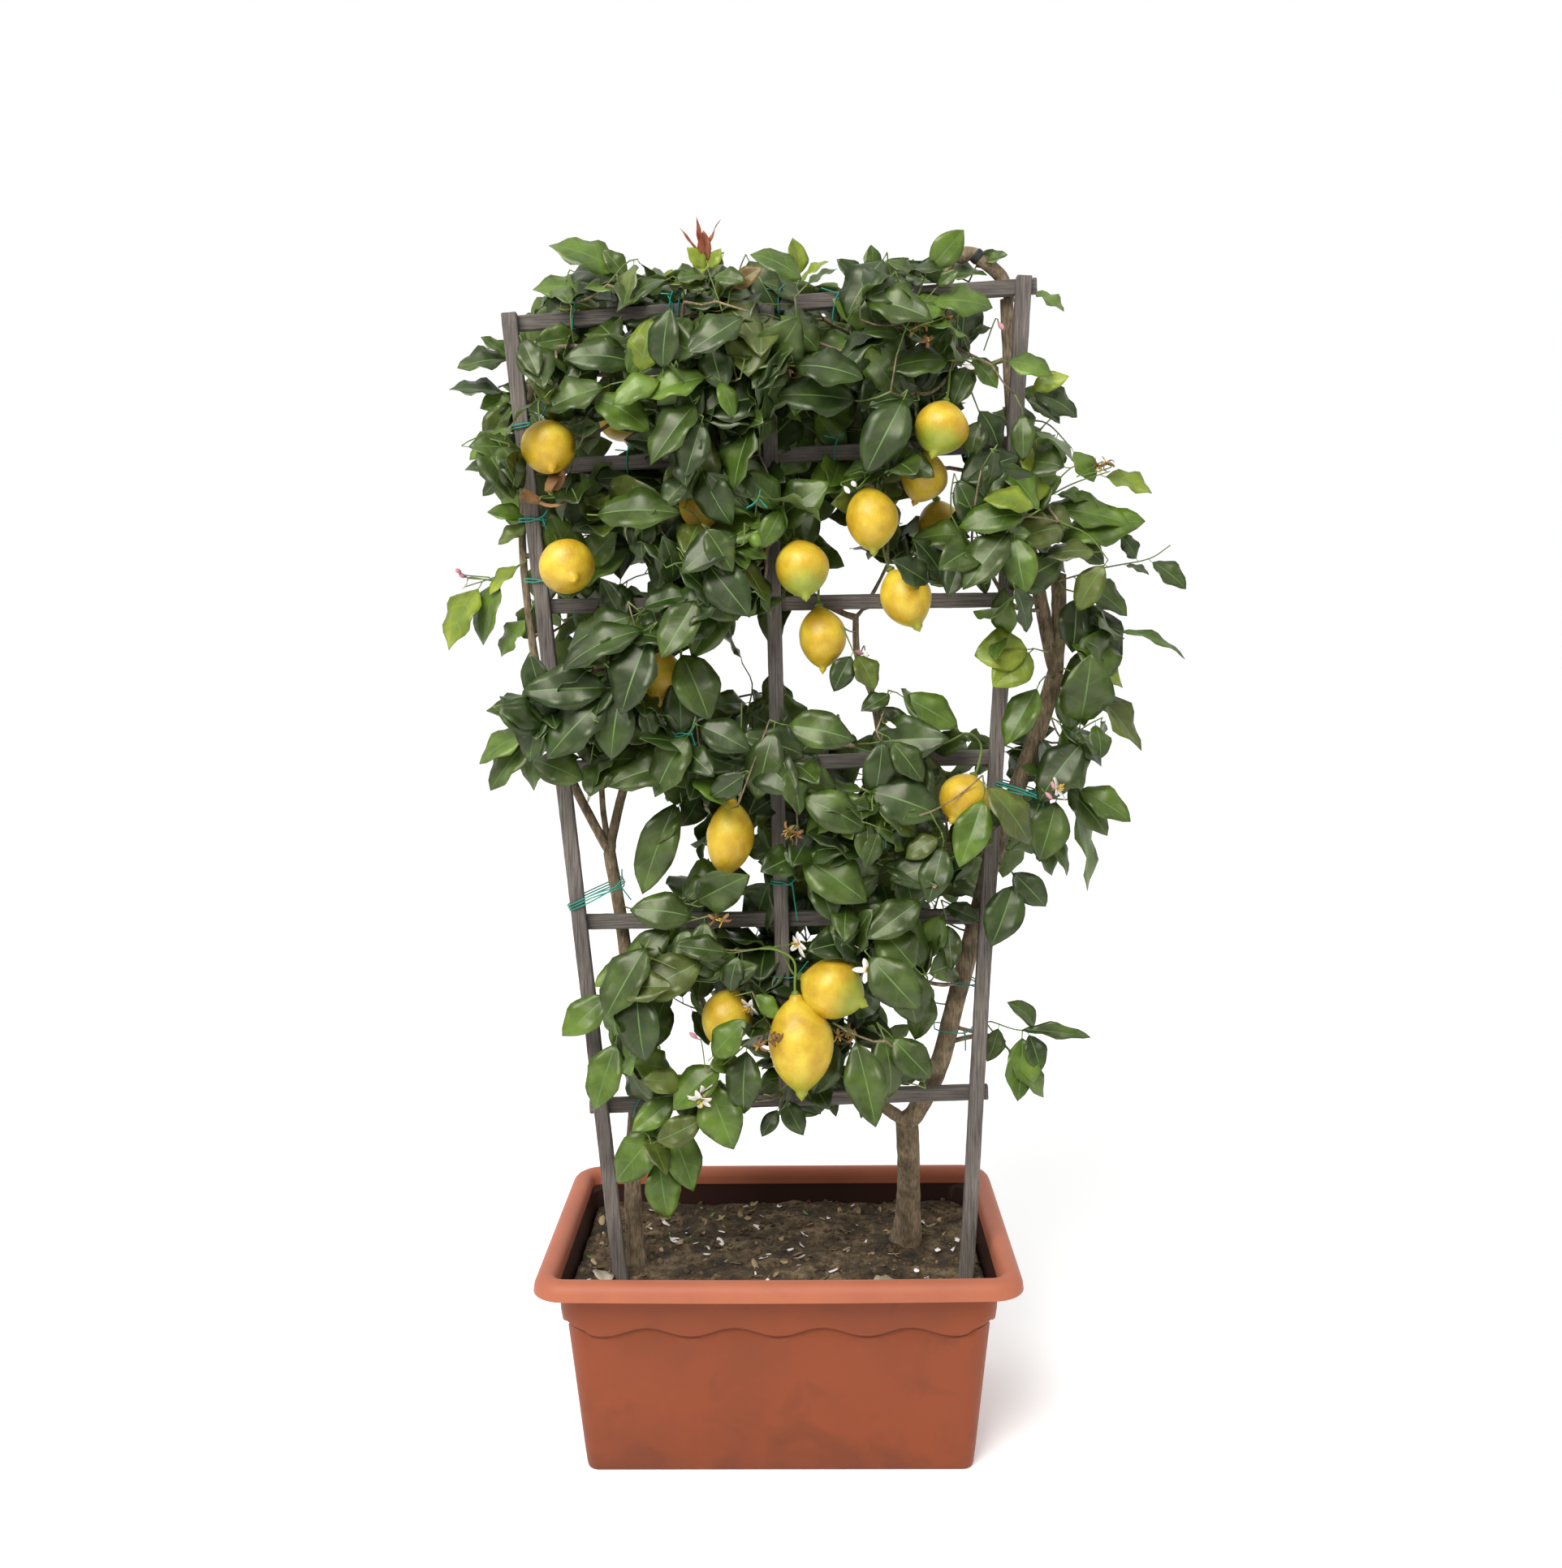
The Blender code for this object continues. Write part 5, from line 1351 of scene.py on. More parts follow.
def outermost(x, z):
    """The nearest point of the crown to the viewer, seen at (x, z), or None."""
    for depth in np.arange(-0.192, -0.095, 0.010):
        point = at_depth(x, z, depth)
        if depth_in_crown(point) > 0.004:
            return point
    return None


for cell in np.ndindex(13, 19):
    x, z = np.array((-0.36, 0.36)) + (np.array(cell) + leaf_rng.uniform(-0.3, 0.3, 2)) * SHOWY_STEP
    point = outermost(x, z)
    if point is None or in_sky(point)[0] or not in_outline(point)[0] or meets_lemon([point], 0.006):
        continue
    for attempt in range(TRIES):
        angle = leaf_rng.choice((-1, 1)) * leaf_rng.uniform(0.1, 1.9)
        way = unit((math.sin(angle), -0.15, -math.cos(angle)))
        facing = unit(np.array((0.0, -0.84, 0.52)) + leaf_rng.normal(0, 0.22, 3))
        length, tint = leaf_rng.uniform(*SHOWY_LENGTH), pick_tint("front", "any")
        if add_leaf(point, way, facing, length, tint, shape=leaf_rng.integers(UNCURLED)):
            show(point, way, SHOWY_LENGTH[1])
            spray_wood[f"showy_{cell}"] = join_wood(point, 0.05)
            break
print(len(SHOWN) - 1, "leaves on show")

# %% Leaves of the sprays
LEAF_SIZE = {"front": 0.088, "rear": 0.088, "side": 0.086}
for number, point in enumerate(spray_at):
    node = spray_room[number]
    kind = node.split("_")[1]
    last = spray_wood[number]
    came = unit(point - wood_at[wood_parent[last]])
    push = {"front": (0, -0.35, 0.25), "rear": (0, 0.30 if point[1] > 0 else -0.1, 0.3),
            "side": (0.35 * np.sign(point[0]), -0.15, 0.15)}[kind]
    way = unit(came * 0.55 + np.array(push) + leaf_rng.normal(0, 0.38, 3) * (1, 0.5, 1))
    count, length = int(leaf_rng.integers(5, 8)), leaf_rng.uniform(0.045, 0.085)
    grow_spray(point, way, length, count, LEAF_SIZE[kind], pick_tint(kind, node), kind)
print(len(LEAVES), "leaves from", len(spray_at), "sprays")

# %% [markdown]
# A lemon is an oval with a nipple at the far end and a low neck at the stalk. Its rind is waxy and covered
# in shallow oil glands, and long fruit is lumpy. Each one is turned from a profile and then made uneven by
# noise, because perfect ovals look moulded. The glands are a millimetre or two wide, so they are left to
# the finish.

# %% Lemon rind
GLAND_MM, RIND_DRIFT_MM = 1.9, 26


def rind(name, base, deep, bright, green, green_deep):
    """Waxy yellow rind with oil glands; the uv layer "rind" says how green it still is."""
    finish, tree, shader = new_finish(name, base, 0.44, ior=1.43, Coat_Weight=0.15, Coat_Roughness=0.32,
                                      Subsurface_Weight=0.08, Subsurface_Scale=0.004)
    where = add_node(tree, "ShaderNodeTexCoord").outputs["Object"]
    drift = add_node(tree, "ShaderNodeTexNoise", {
        "Vector": where, "Scale": 1 / (RIND_DRIFT_MM * MM), "Detail": 3.0})
    ripe = add_node(tree, "ShaderNodeValToRGB", {"Fac": drift},
                    stops=[(0.34, deep), (0.52, base), (0.68, bright)])
    unripe = add_node(tree, "ShaderNodeValToRGB", {"Fac": drift}, stops=[(0.35, green_deep), (0.65, green)])
    greenness = add_node(tree, "ShaderNodeSeparateXYZ", {
        "Vector": add_node(tree, "ShaderNodeUVMap", uv_map="rind")}).outputs["X"]
    patchy = add_node(tree, "ShaderNodeMath", {0: drift, 1: 0.8, 2: greenness}, operation="MULTIPLY_ADD")
    share = add_node(tree, "ShaderNodeMapRange", {"Value": patchy, "From Min": 0.62, "From Max": 1.35})
    tone = add_node(tree, "ShaderNodeMix", {"Factor": share, "A": ripe, "B": unripe}, data_type="RGBA")
    glands = add_node(tree, "ShaderNodeTexVoronoi", {
        "Vector": where, "Scale": 1 / (GLAND_MM * MM), "Randomness": 0.9})
    pits = add_node(tree, "ShaderNodeValToRGB", {"Fac": glands}, stops=[(0.0, "#E6DCC0"), (0.35, "#FFFFFF")])
    colour = add_node(tree, "ShaderNodeMix", {"Factor": 1.0, "A": tone, "B": pits},
                      data_type="RGBA", blend_type="MULTIPLY")
    dress(tree, shader, colour, glands, 0.45, 0.6)
    return finish


lemon_rind = rind("lemon_rind_yellow", "#C1A026", "#AF8A17", "#CDB435", "#9DA032", "#7C8A24")

# %% Turn the lemons
LEMON_ROUND, LEMON_RINGS = 40, 34
GREEN_FADE = 0.30
GREEN_TIPS = {"upper_right": 0.74, "middle": 0.80, "low_round": 0.80, "low_long": 0.93, "middle_right": 0.97,
              "right": 0.95, "behind_right": 0.85, "behind_low": 0.9}
LUMPS = {"low_long": 0.050, "necked": 0.045, "low_round": 0.028, "hanging": 0.030}


def lemon_profile(t, nipple, neck):
    """Radius at a share t of the length, from stalk to tip; 1 is the widest."""
    body = math.sin(math.pi * min(max((t - 0.015) / 0.90, 0), 1)) ** 0.62
    tip = 0.24 * nipple**0.4 * math.exp(-(((t - 0.915) / 0.062) ** 2)) * (1 if t < 0.985 else 0.55)
    stalk_end = (0.20 + neck) * math.exp(-((t / 0.10) ** 2))
    closing = math.sqrt(max(0.0, 1 - ((t - 0.5) / 0.5) ** 8))
    return max(body, tip, stalk_end) * closing


def lemon(name, number):
    """Points, faces and greenness of one lemon, stalk end first."""
    width, length, nipple = LEMONS[name][3], LEMONS[name][4], LEMONS[name][7]
    axis = LEMON_TIP[number]
    side = unit(np.cross(axis, (0.2, 0.9, 0.4)))
    other = np.cross(axis, side)
    neck = 0.14 if name in ("low_long", "necked") else 0.0
    start = LEMON_AT[number] - axis * length / 2
    lumps = LUMPS.get(name, 0.016)
    green_from = GREEN_TIPS.get(name, 2.0)
    points, unripe = [start], [0.0]
    for ring in range(1, LEMON_RINGS):
        t = 0.5 - 0.5 * math.cos(math.pi * ring / LEMON_RINGS)
        reach = lemon_profile(t, nipple, neck) * width / 2
        lean = side * 0.05 * width * math.sin(math.pi * t)
        for k in range(LEMON_ROUND):
            angle = 2 * math.pi * k / LEMON_ROUND
            out = math.cos(angle) * side + math.sin(angle) * other
            spot = start + axis * t * length + out * reach
            rough = noise.noise(Vector(spot) / 0.021 + Vector((number, 0, 0))) * lumps
            rough += noise.noise(Vector(spot) / 0.009 + Vector((0, number, 0))) * lumps * 0.5
            points.append(spot + lean + out * reach * rough)
            unripe.append(min(max((t - green_from + GREEN_FADE) / GREEN_FADE, 0.0), 1.0))
    points.append(start + axis * length * 0.995)
    unripe.append(unripe[-1])
    return points, tube_faces(LEMON_RINGS - 1, LEMON_ROUND), unripe


shapes = [lemon(name, number) for number, name in enumerate(LEMONS)]
lemons = new_piece("lemons", *gather([shape[:2] for shape in shapes]), [lemon_rind])
unripe = np.array([share for shape in shapes for share in shape[2]])
corners = np.array([loop.vertex_index for loop in lemons.data.loops])
lemons.data.uv_layers.new(name="rind").data.foreach_set(
    "uv", np.column_stack((unripe[corners], np.zeros(len(corners)))).ravel())
place(lemons, "lemon_rind")

# %% [markdown]
# Every lemon hangs from a short stiff stalk, which widens into a five-lobed green button on the fruit. The
# stalk leaves the fruit along its axis and bends up to the nearest wood.

# %% Fruit stalks and buttons
def lobes(ring, angles):
    """The five lobes of a lemon's button."""
    return 1 + 0.16 * np.cos(5 * angles)


stalk_shapes = []
for number, name in enumerate(LEMONS):
    axis, top = LEMON_TIP[number], LEMON_AT[number] - LEMON_TIP[number] * LEMONS[name][4] / 2
    reach = top - axis * 0.022 + np.array((0, 0.004, 0.016))
    points = np.array(wood_at)
    cost = np.linalg.norm(points - reach, axis=1) + 0.6 * np.maximum(reach[2] + 0.01 - points[:, 2], 0)
    grip = points[cost.argmin()]
    bend = (reach + grip) / 2 + (0, 0, 0.006)
    path, _ = smooth_line([top + axis * 0.002, top - axis * 0.010, reach, bend, grip], 0.006)
    stalk_shapes.append(sweep(path, np.linspace(1.7 * MM, 1.3 * MM, len(path)), 7))
    button = [top + axis * out for out in (0.0022, 0.0002, -0.0018, -0.0036)]
    stalk_shapes.append(sweep(button, np.array((4.6, 5.0, 3.4, 1.9)) * MM, 20, lobes))
place(new_piece("fruit_stalks", *gather(stalk_shapes), [stalk_green]), "leaves")

# %% [markdown]
# Well over a thousand leaves repeat a few shapes, which is work for Geometry Nodes: a mesh of loose points
# carries each leaf's turn, size and shape number, and the tree sets a leaf on every point. Its result is
# made a plain mesh, because instances would be lost on the way out. Each tint is a piece of its own.

# %% A node tree that sets shapes on points


def start_tree(name, **kinds):
    """A Geometry Nodes tree with named inputs, and with the shapes that it may pick from."""
    tree = bpy.data.node_groups.new(name, "GeometryNodeTree")
    sockets = {}
    for label, kind in kinds.items():
        label = label.replace("_", " ")
        made = tree.interface.new_socket(label, in_out="INPUT", socket_type="NodeSocket" + kind)
        sockets[label] = made.identifier
    tree.interface.new_socket("Mesh", in_out="OUTPUT", socket_type="NodeSocketGeometry")
    inputs = add_node(tree, "NodeGroupInput").outputs
    shapes = add_node(tree, "GeometryNodeCollectionInfo", {"Collection": inputs["Shapes"],
                                                           "Separate Children": True, "Reset Children": True})
    return tree, sockets, inputs, shapes


def end_tree(tree, inputs, points, shapes, number, turn, size):
    """Sets a shape on every point, makes the copies real, and gives them their finish."""
    set_out = add_node(tree, "GeometryNodeInstanceOnPoints", {
        "Points": points, "Instance": shapes, "Pick Instance": True, "Instance Index": number,
        "Rotation": turn, "Scale": size})
    real = add_node(tree, "GeometryNodeRealizeInstances", {"Geometry": set_out})
    painted = add_node(tree, "GeometryNodeSetMaterial", {"Geometry": real, "Material": inputs["Finish"]})
    add_node(tree, "NodeGroupOutput", {"Mesh": painted})
    return painted


def run_tree(name, mesh, tree, sockets, **values):
    """Runs a tree on a mesh and returns the result as a plain mesh object."""
    ground = bpy.data.objects.new(name + "_ground", mesh)
    bpy.context.scene.collection.objects.link(ground)
    modifier = ground.modifiers.new("set_shapes", "NODES")
    modifier.node_group = tree
    for label, value in values.items():
        modifier[sockets[label.replace("_", " ")]] = value
    made = bpy.data.meshes.new_from_object(ground.evaluated_get(bpy.context.evaluated_depsgraph_get()))
    made.name = name
    ground.modifiers.remove(modifier)
    bpy.data.objects.remove(ground)
    for label in ("turn", "size", "shape", "blade"):
        if label in made.attributes:
            made.attributes.remove(made.attributes[label])
    piece = bpy.data.objects.new(name, made)
    bpy.context.scene.collection.objects.link(piece)
    return piece


def setting_tree(name, selection=None):
    """Geometry Nodes: sets shapes on points that carry each one's turn, size and shape number."""
    tree, sockets, inputs, shapes = start_tree(
        name, Points="Geometry", Shapes="Collection", Finish="Material")

    def carried(label, kind):
        return add_node(tree, "GeometryNodeInputNamedAttribute", {"Name": label}, data_type=kind)

    painted = end_tree(tree, inputs, inputs["Points"], shapes, carried("shape", "INT"),
                       carried("turn", "FLOAT_VECTOR"), carried("size", "FLOAT_VECTOR"))
    if selection:
        tree.links.new(socket_of(carried(selection, "BOOLEAN")), painted.inputs["Selection"])
    return tree, sockets


def set_on_points(name, tree, sockets, shelf, finish, places):
    """Runs a setting tree on (point, turn, size, shape number) rows and returns the plain mesh object."""
    mesh = bpy.data.meshes.new(name + "_points")
    mesh.from_pydata([tuple(row[0]) for row in places], [], [])
    for label, kind, values, field in (
            ("turn", "FLOAT_VECTOR", np.array([row[1] for row in places]), "vector"),
            ("size", "FLOAT_VECTOR", np.array([row[2] for row in places]), "vector"),
            ("shape", "INT", np.array([row[3] for row in places], dtype=np.int32), "value")):
        mesh.attributes.new(label, kind, "POINT").data.foreach_set(field, values.ravel())
    return run_tree(name, mesh, tree, sockets, Shapes=shelf, Finish=finish)


leaf_tree, leaf_sockets = setting_tree("set_leaves", "blade")
print("tree", leaf_tree.name, "has", len(leaf_tree.nodes), "nodes")

# %% Set the leaves
STANDS_FOR = {
    "deep": ("front_waist", "front_upper"), "mid": ("front_top", "front_shoulder"), "fresh": ("side",),
    "olive": ("rear_low", "rear_waist"), "yellow": ("front_low", "front_foot"), "red": (), "rust": (),
}
standing = {tint: [node for node in ROOMS if node[len("foliage_"):].startswith(starts)] if starts else []
            for tint, starts in STANDS_FOR.items()}
standing["mid"] += [node for node in ROOMS if "rear_top" in node or "rear_upper" in node]
for tint, blade in BLADES.items():
    rows = [(base, turn, (length * width, length, length), shape)
            for base, turn, length, width, shape, leaf_tint in LEAVES if leaf_tint == tint]
    if rows:
        piece = set_on_points("leaves_" + tint, leaf_tree, leaf_sockets, leaf_shelf, blade, rows)
        place(piece, "leaves", *standing[tint])

# %% [markdown]
# Twigs are tubes with six sides, since they are only a few millimetres thick. Those thinner than a
# matchstick are green, and the rest has turned to bark, so they go to two pieces.

# %% Twigs
feeds = np.zeros(len(wood_at))
for last in spray_wood.values():
    feeds[last] += 1
for index in range(len(wood_at) - 1, -1, -1):
    if wood_parent[index] >= 0:
        feeds[wood_parent[index]] += feeds[index]
children = {}
for index, parent in enumerate(wood_parent):
    if parent >= 0:
        children.setdefault(parent, []).append(index)


def twig_radius(index):
    return min(TWIG_TIP * max(feeds[index], 1) ** TWIG_GROWTH, TWIG_MOST)


woody, green = [], []
starts = [child for index, kids in children.items() for child in
          (kids if wood_parent[index] < 0 else sorted(kids, key=lambda kid: -feeds[kid])[1:])]
for start in starts:
    chain = [wood_parent[start], start]
    while chain[-1] in children:
        chain.append(max(children[chain[-1]], key=lambda kid: feeds[kid]))
    radii = np.array([twig_radius(index) for index in chain])
    radii[0] = radii[1] * 1.25
    path = np.array([wood_at[index] for index in chain])
    for k in range(1, len(path) - 1):
        radii[k] *= 1.18 if k % 3 == 0 else 1.0
    (woody if radii.mean() > 1.25 * MM else green).append(sweep(path, radii, 6))
for line in TWIGS:
    radii = np.linspace(1.15 * MM, 0.75 * MM, len(line))
    green.append(sweep(line, radii, 5))
young_bark = two_toned("young_green_twig", "#6E7F3E", "#55642F", 0.6)
place(new_piece("woody_twigs", *gather(woody), [old_bark]), "bark")
place(new_piece("green_twigs", *gather(green), [young_bark]), "leaves")

# %% [markdown]
# The tree flowers while it fruits. Lemon buds are long and flushed with pink, open flowers have five
# thick white petals that curl back round a tuft of stamens, and spent ones hang on as tan rags. They are
# small solids turned to every side, made from one petal formula and one turned bud.

# %% Blossom, buds and withered flowers
petal_white = two_toned("fresh_petal_white", "#F1EDE6", "#DCD2CC", 0.5)
bud_pink = two_toned("bud_flushed_pink", "#C98F96", "#A9707E", 0.5)
withered_tan = two_toned("withered_petal_tan", "#9A7448", "#6B4A2C", 0.8)
stamen_yellow = two_toned("stamen_yellow", "#C9A53A", "#9C7C2A", 0.6)
flower_rng = np.random.default_rng(41)
FLOWER_STEM = 0.85 * MM
FLOWERS = (  # x, z on the trellis plane, depth, what it is, how many
    (0.030, 0.661, -0.130, "open", 1), (-0.086, 0.472, -0.170, "open", 2),
    (0.110, 0.632, -0.150, "open", 2), (-0.032, 0.581, -0.140, "open", 1),
    (0.086, 0.655, -0.120, "open", 1), (0.345, 0.852, -0.130, "open", 1),
    (-0.374, 1.108, -0.065, "bud", 3), (-0.099, 0.540, -0.160, "bud", 1), (0.095, 1.221, -0.178, "bud", 2),
    (0.136, 0.936, -0.140, "bud", 2), (0.165, 1.423, -0.150, "bud", 2), (0.270, 1.408, -0.140, "bud", 1),
    (-0.132, 1.183, -0.165, "bud", 1), (0.116, 1.014, -0.090, "bud", 2), (0.115, 0.622, -0.130, "bud", 3),
    (0.335, 0.866, -0.120, "bud", 2), (0.205, 0.735, -0.160, "bud", 3), (0.312, 1.226, -0.090, "bud", 1),
    (0.404, 1.236, -0.065, "withered", 2), (0.021, 0.802, -0.160, "withered", 3),
    (0.194, 1.407, -0.165, "withered", 2), (0.184, 1.395, -0.165, "withered", 2),
    (-0.074, 0.690, -0.150, "withered", 2), (0.090, 0.548, -0.150, "withered", 3),
    (-0.010, 0.532, -0.190, "withered", 3), (0.316, 1.222, -0.100, "withered", 2),
    (-0.264, 1.210, -0.138, "rag", 2), (0.020, 1.352, -0.150, "withered", 3),
    (0.118, 0.780, -0.140, "withered", 1), (0.115, 0.912, -0.125, "withered", 2),
    (0.230, 1.360, -0.140, "bud", 1), (-0.120, 1.140, 0.130, "bud", 2), (0.150, 1.300, 0.120, "open", 2),
    (-0.220, 1.050, 0.100, "bud", 2), (0.220, 0.850, 0.110, "open", 1),
    (0.040, 0.900, 0.110, "withered", 2),
)


def thin_skin(grid, above, thick):
    """Closes a grid of points into a thin two-sided skin; above is the direction of its upper side."""
    top = grid.reshape(-1, 3)
    return list(top) + list(top - np.asarray(above) * thick), skin_faces(*grid.shape[:2])[0]


def petal(base, way, above, length, width, curl):
    """A spoon-shaped petal from its base, curling back by so many radians."""
    side = np.cross(way, above)
    grid, spot = [], np.array(base, dtype=float)
    for row in range(6):
        t = row / 5
        half = width / 2 * (0.35 + 0.65 * math.sin(math.pi * min(t * 0.80 + 0.12, 1)))
        half *= 1 if row < 5 else 0.45
        angle = curl * t
        ahead = way * math.cos(angle) - above * math.sin(angle)
        lift = way * math.sin(angle) + above * math.cos(angle)
        grid.append([spot + side * u * half + lift * 0.16 * width * abs(u) for u in (-1, 0, 1)])
        spot = spot + ahead * length / 5
    return thin_skin(np.array(grid), above, 0.0006)


def flower(centre, facing, kind):
    """Shapes and finish numbers for one flower: 0 white, 1 pink, 2 tan, 3 yellow."""
    facing = unit(facing)
    side = unit(np.cross(facing, (0.3, 0.2, 0.9)))
    other = np.cross(facing, side)
    made = []
    if kind in ("open", "withered"):
        turn = flower_rng.uniform(0, 6.28)
        for k in range(5 if kind == "open" else 4):
            angle = turn + 2 * math.pi * k / 5 + flower_rng.normal(0, 0.12)
            out = math.cos(angle) * side + math.sin(angle) * other
            curl = flower_rng.uniform(0.3, 1.1) if kind == "open" else flower_rng.uniform(1.6, 3.2)
            way = unit(out + facing * flower_rng.uniform(0.2, 0.7))
            length = 0.017 * flower_rng.uniform(0.8, 1.1) * (1 if kind == "open" else 0.75)
            made.append((petal(centre, way, unit(facing - way * (facing @ way)), length,
                               0.0072 if kind == "open" else 0.0040, curl), 0 if kind == "open" else 2))
        for _ in range(7 if kind == "open" else 2):
            tip = centre + facing * 0.009 + flower_rng.normal(0, 0.0022, 3)
            made.append((sweep([centre, (centre + tip) / 2, tip], np.array((0.5, 0.6, 0.9)) * MM, 5), 3))
    elif kind == "rag":
        for _ in range(2):
            way = unit(flower_rng.normal(0, 1, 3) * (1, 0.3, 0.4))
            above = unit(np.cross(way, flower_rng.normal(0, 1, 3)))
            made.append((petal(centre, way, above, 0.034, 0.014, flower_rng.uniform(1.0, 2.2)), 2))
    else:
        length = flower_rng.uniform(0.010, 0.016)
        shares = np.linspace(0, 1, 8)
        line = centre + np.outer(shares * length, facing)
        radii = 0.0032 * np.sin(np.pi * np.clip(shares * 0.93 + 0.05, 0, 1)) ** 0.7 * (0.75 + 0.35 * shares)
        made.append((sweep(line, radii, 10), 1 if flower_rng.random() < 0.7 else 0))
    return made


flower_shapes, flower_stems = [], []
for x, z, depth, kind, count in FLOWERS:
    middle = at_depth(x, z, depth)
    wood = np.array(wood_at)
    grip = wood[np.linalg.norm(wood - middle - (0, 0.01, 0), axis=1).argmin()]
    for _ in range(count):
        facing = np.array((0, -0.7 if depth < 0.05 else 0.7, -0.1)) + flower_rng.normal(0, 0.55, 3)
        spot = middle + flower_rng.normal(0, 0.007, 3) * (count > 1)
        flower_shapes += flower(spot, facing, kind)
        near = spot + (grip - spot) * min(1.0, 0.035 / max(np.linalg.norm(grip - spot), 0.001))
        stem, _ = smooth_line([spot, spot - unit(facing) * 0.006, near], 0.004)
        flower_stems.append(sweep(stem, np.full(len(stem), FLOWER_STEM), 5))
face_slots = [slot for (_, faces), slot in flower_shapes for _ in faces]
blossom = new_piece("blossom_and_buds", *gather([shape for shape, _ in flower_shapes]),
                    [petal_white, bud_pink, withered_tan, stamen_yellow], face_slots)
place(blossom, "blossom")
place(new_piece("flower_stems", *gather(flower_stems), [stalk_green]), "leaves")

# %% [markdown]
# One green fruitlet has set, the size of a large pea.

# %% A green fruitlet
fruitlet_green = two_toned("fruitlet_green", "#6E8A2E", "#55701F", 0.45)
spot = at_depth(*FRUITLET)
shares = np.linspace(0, 1, 14)
line = spot + np.outer((shares - 0.5) * 0.017, unit((0.3, -0.3, -0.9)))
radii = 0.0075 * np.sqrt(np.clip(1 - (2 * shares - 1) ** 2, 0.02, 1)) * (1 + 0.15 * (shares > 0.9))
fruitlet = new_piece("green_fruitlet", *sweep(line, radii, 18), [fruitlet_green])
place(fruitlet, "lemon_rind")

# %% [markdown]
# The limbs are tied to the trellis with plastic-coated garden wire, a sea green that catches the eye. Each
# tie is one smooth line: in from a tail, once or more round the batten and the limb, and out to a tail.

# %% Garden wire ties
WIRE, WIRE_PITCH = 0.85 * MM, 0.0032
RAIL_FRONT, RAIL_BACK = -0.0802, -0.058
UPRIGHT_FRONT, LIMB_BACK = -0.0926, -0.040
RAIL_TIES = (  # x, z; half span; slant in degrees; turns; tail
    (-0.233, 1.423, 0.014, 4, 1, 0.014), (-0.117, 1.431, 0.013, -6, 2, 0.010),
    (0.076, 1.428, 0.015, 8, 1, 0.018), (-0.108, 1.432, 0.013, 2, 1, 0.008),
    (0.010, 1.434, 0.013, -3, 1, 0.012), (0.160, 1.266, 0.013, 5, 1, 0.012),
    (-0.173, 1.250, 0.013, -5, 1, 0.012), (0.076, 1.262, 0.013, 3, 1, 0.014),
    (0.235, 1.268, 0.013, 10, 1, 0.014), (0.170, 0.891, 0.013, 8, 1, 0.016),
    (-0.178, 0.453, 0.014, 18, 1, 0.012),
)
LIMB_TIES = (  # x, z; half span; front and back depth; slant in degrees; turns; tail
    (-0.112, 0.923, 0.010, -0.150, -0.120, 6, 2, 0.022),
    (-0.292, 1.296, 0.016, UPRIGHT_FRONT, LIMB_BACK, 10, 2, 0.020),
    (-0.288, 1.272, 0.013, UPRIGHT_FRONT, LIMB_BACK, -14, 1, 0.018),
    (-0.290, 1.184, 0.014, UPRIGHT_FRONT, LIMB_BACK, 3, 2, 0.012),
    (-0.286, 1.111, 0.014, UPRIGHT_FRONT, LIMB_BACK, -3, 2, 0.010),
    (-0.277, 0.941, 0.014, UPRIGHT_FRONT, LIMB_BACK, -4, 2, 0.014),
    (-0.224, 0.722, 0.034, UPRIGHT_FRONT, LIMB_BACK, 24, 3, 0.022),
    (0.008, 0.737, 0.012, UPRIGHT_FRONT, -0.068, -4, 2, 0.045),
    (0.008, 0.618, 0.014, UPRIGHT_FRONT, -0.060, -5, 1, 0.030),
    (0.121, 0.806, 0.013, -0.150, -0.120, -8, 2, 0.022),
    (0.300, 0.850, 0.030, UPRIGHT_FRONT, -0.034, -16, 3, 0.024),
    (0.233, 0.608, 0.017, -0.068, -0.032, -6, 2, 0.012),
    (0.217, 0.547, 0.018, -0.064, -0.028, -10, 1, 0.020),
    (0.288, 1.150, 0.020, UPRIGHT_FRONT, -0.040, 8, 2, 0.014),
    (-0.022, 1.200, 0.008, -0.170, -0.150, 30, 1, 0.012),
)
tie_wire = two_toned("coated_garden_wire", "#1F8E7A", "#177463", 0.40)


def tie(x, z, half, front, back, slant, turns, tail, on_rail=False):
    """One tie's wire, wound round between its front and back depths, across a rail or an upright."""
    centre = at_depth(x, z, front)
    angle = math.radians(slant)
    level = np.array((math.cos(angle), 0, math.sin(angle)))
    steep = np.array((math.sin(angle), 0, math.cos(angle)))
    across, other = (steep, level * (1, 1, -1)) if on_rail else (level, steep * (-1, 1, 1))
    back, wide = back - front, half + 0.001
    round_it = ((0, -0.0006), (-half, 0.001), (-wide, back * 0.5), (-half * 0.8, back), (half * 0.8, back),
                (wide, back * 0.5), (half, 0))
    stops = [(wide + tail * 0.5, tail * 0.8, -0.002), (wide, 0.003, -0.0015)]  # across, other, away
    for turn in range(turns):
        stops += [(a, (turn - (turns - 1) / 2) * WIRE_PITCH, away) for a, away in round_it]
    stops += [(wide, 0, -0.002), (wide + tail * 0.2, -tail, -0.001)]
    line = [centre + across * a + other * b + np.array((0, away, 0)) for a, b, away in stops]
    path, _ = smooth_line(line, 0.0022)
    return sweep(path, np.full(len(path), WIRE), 7)


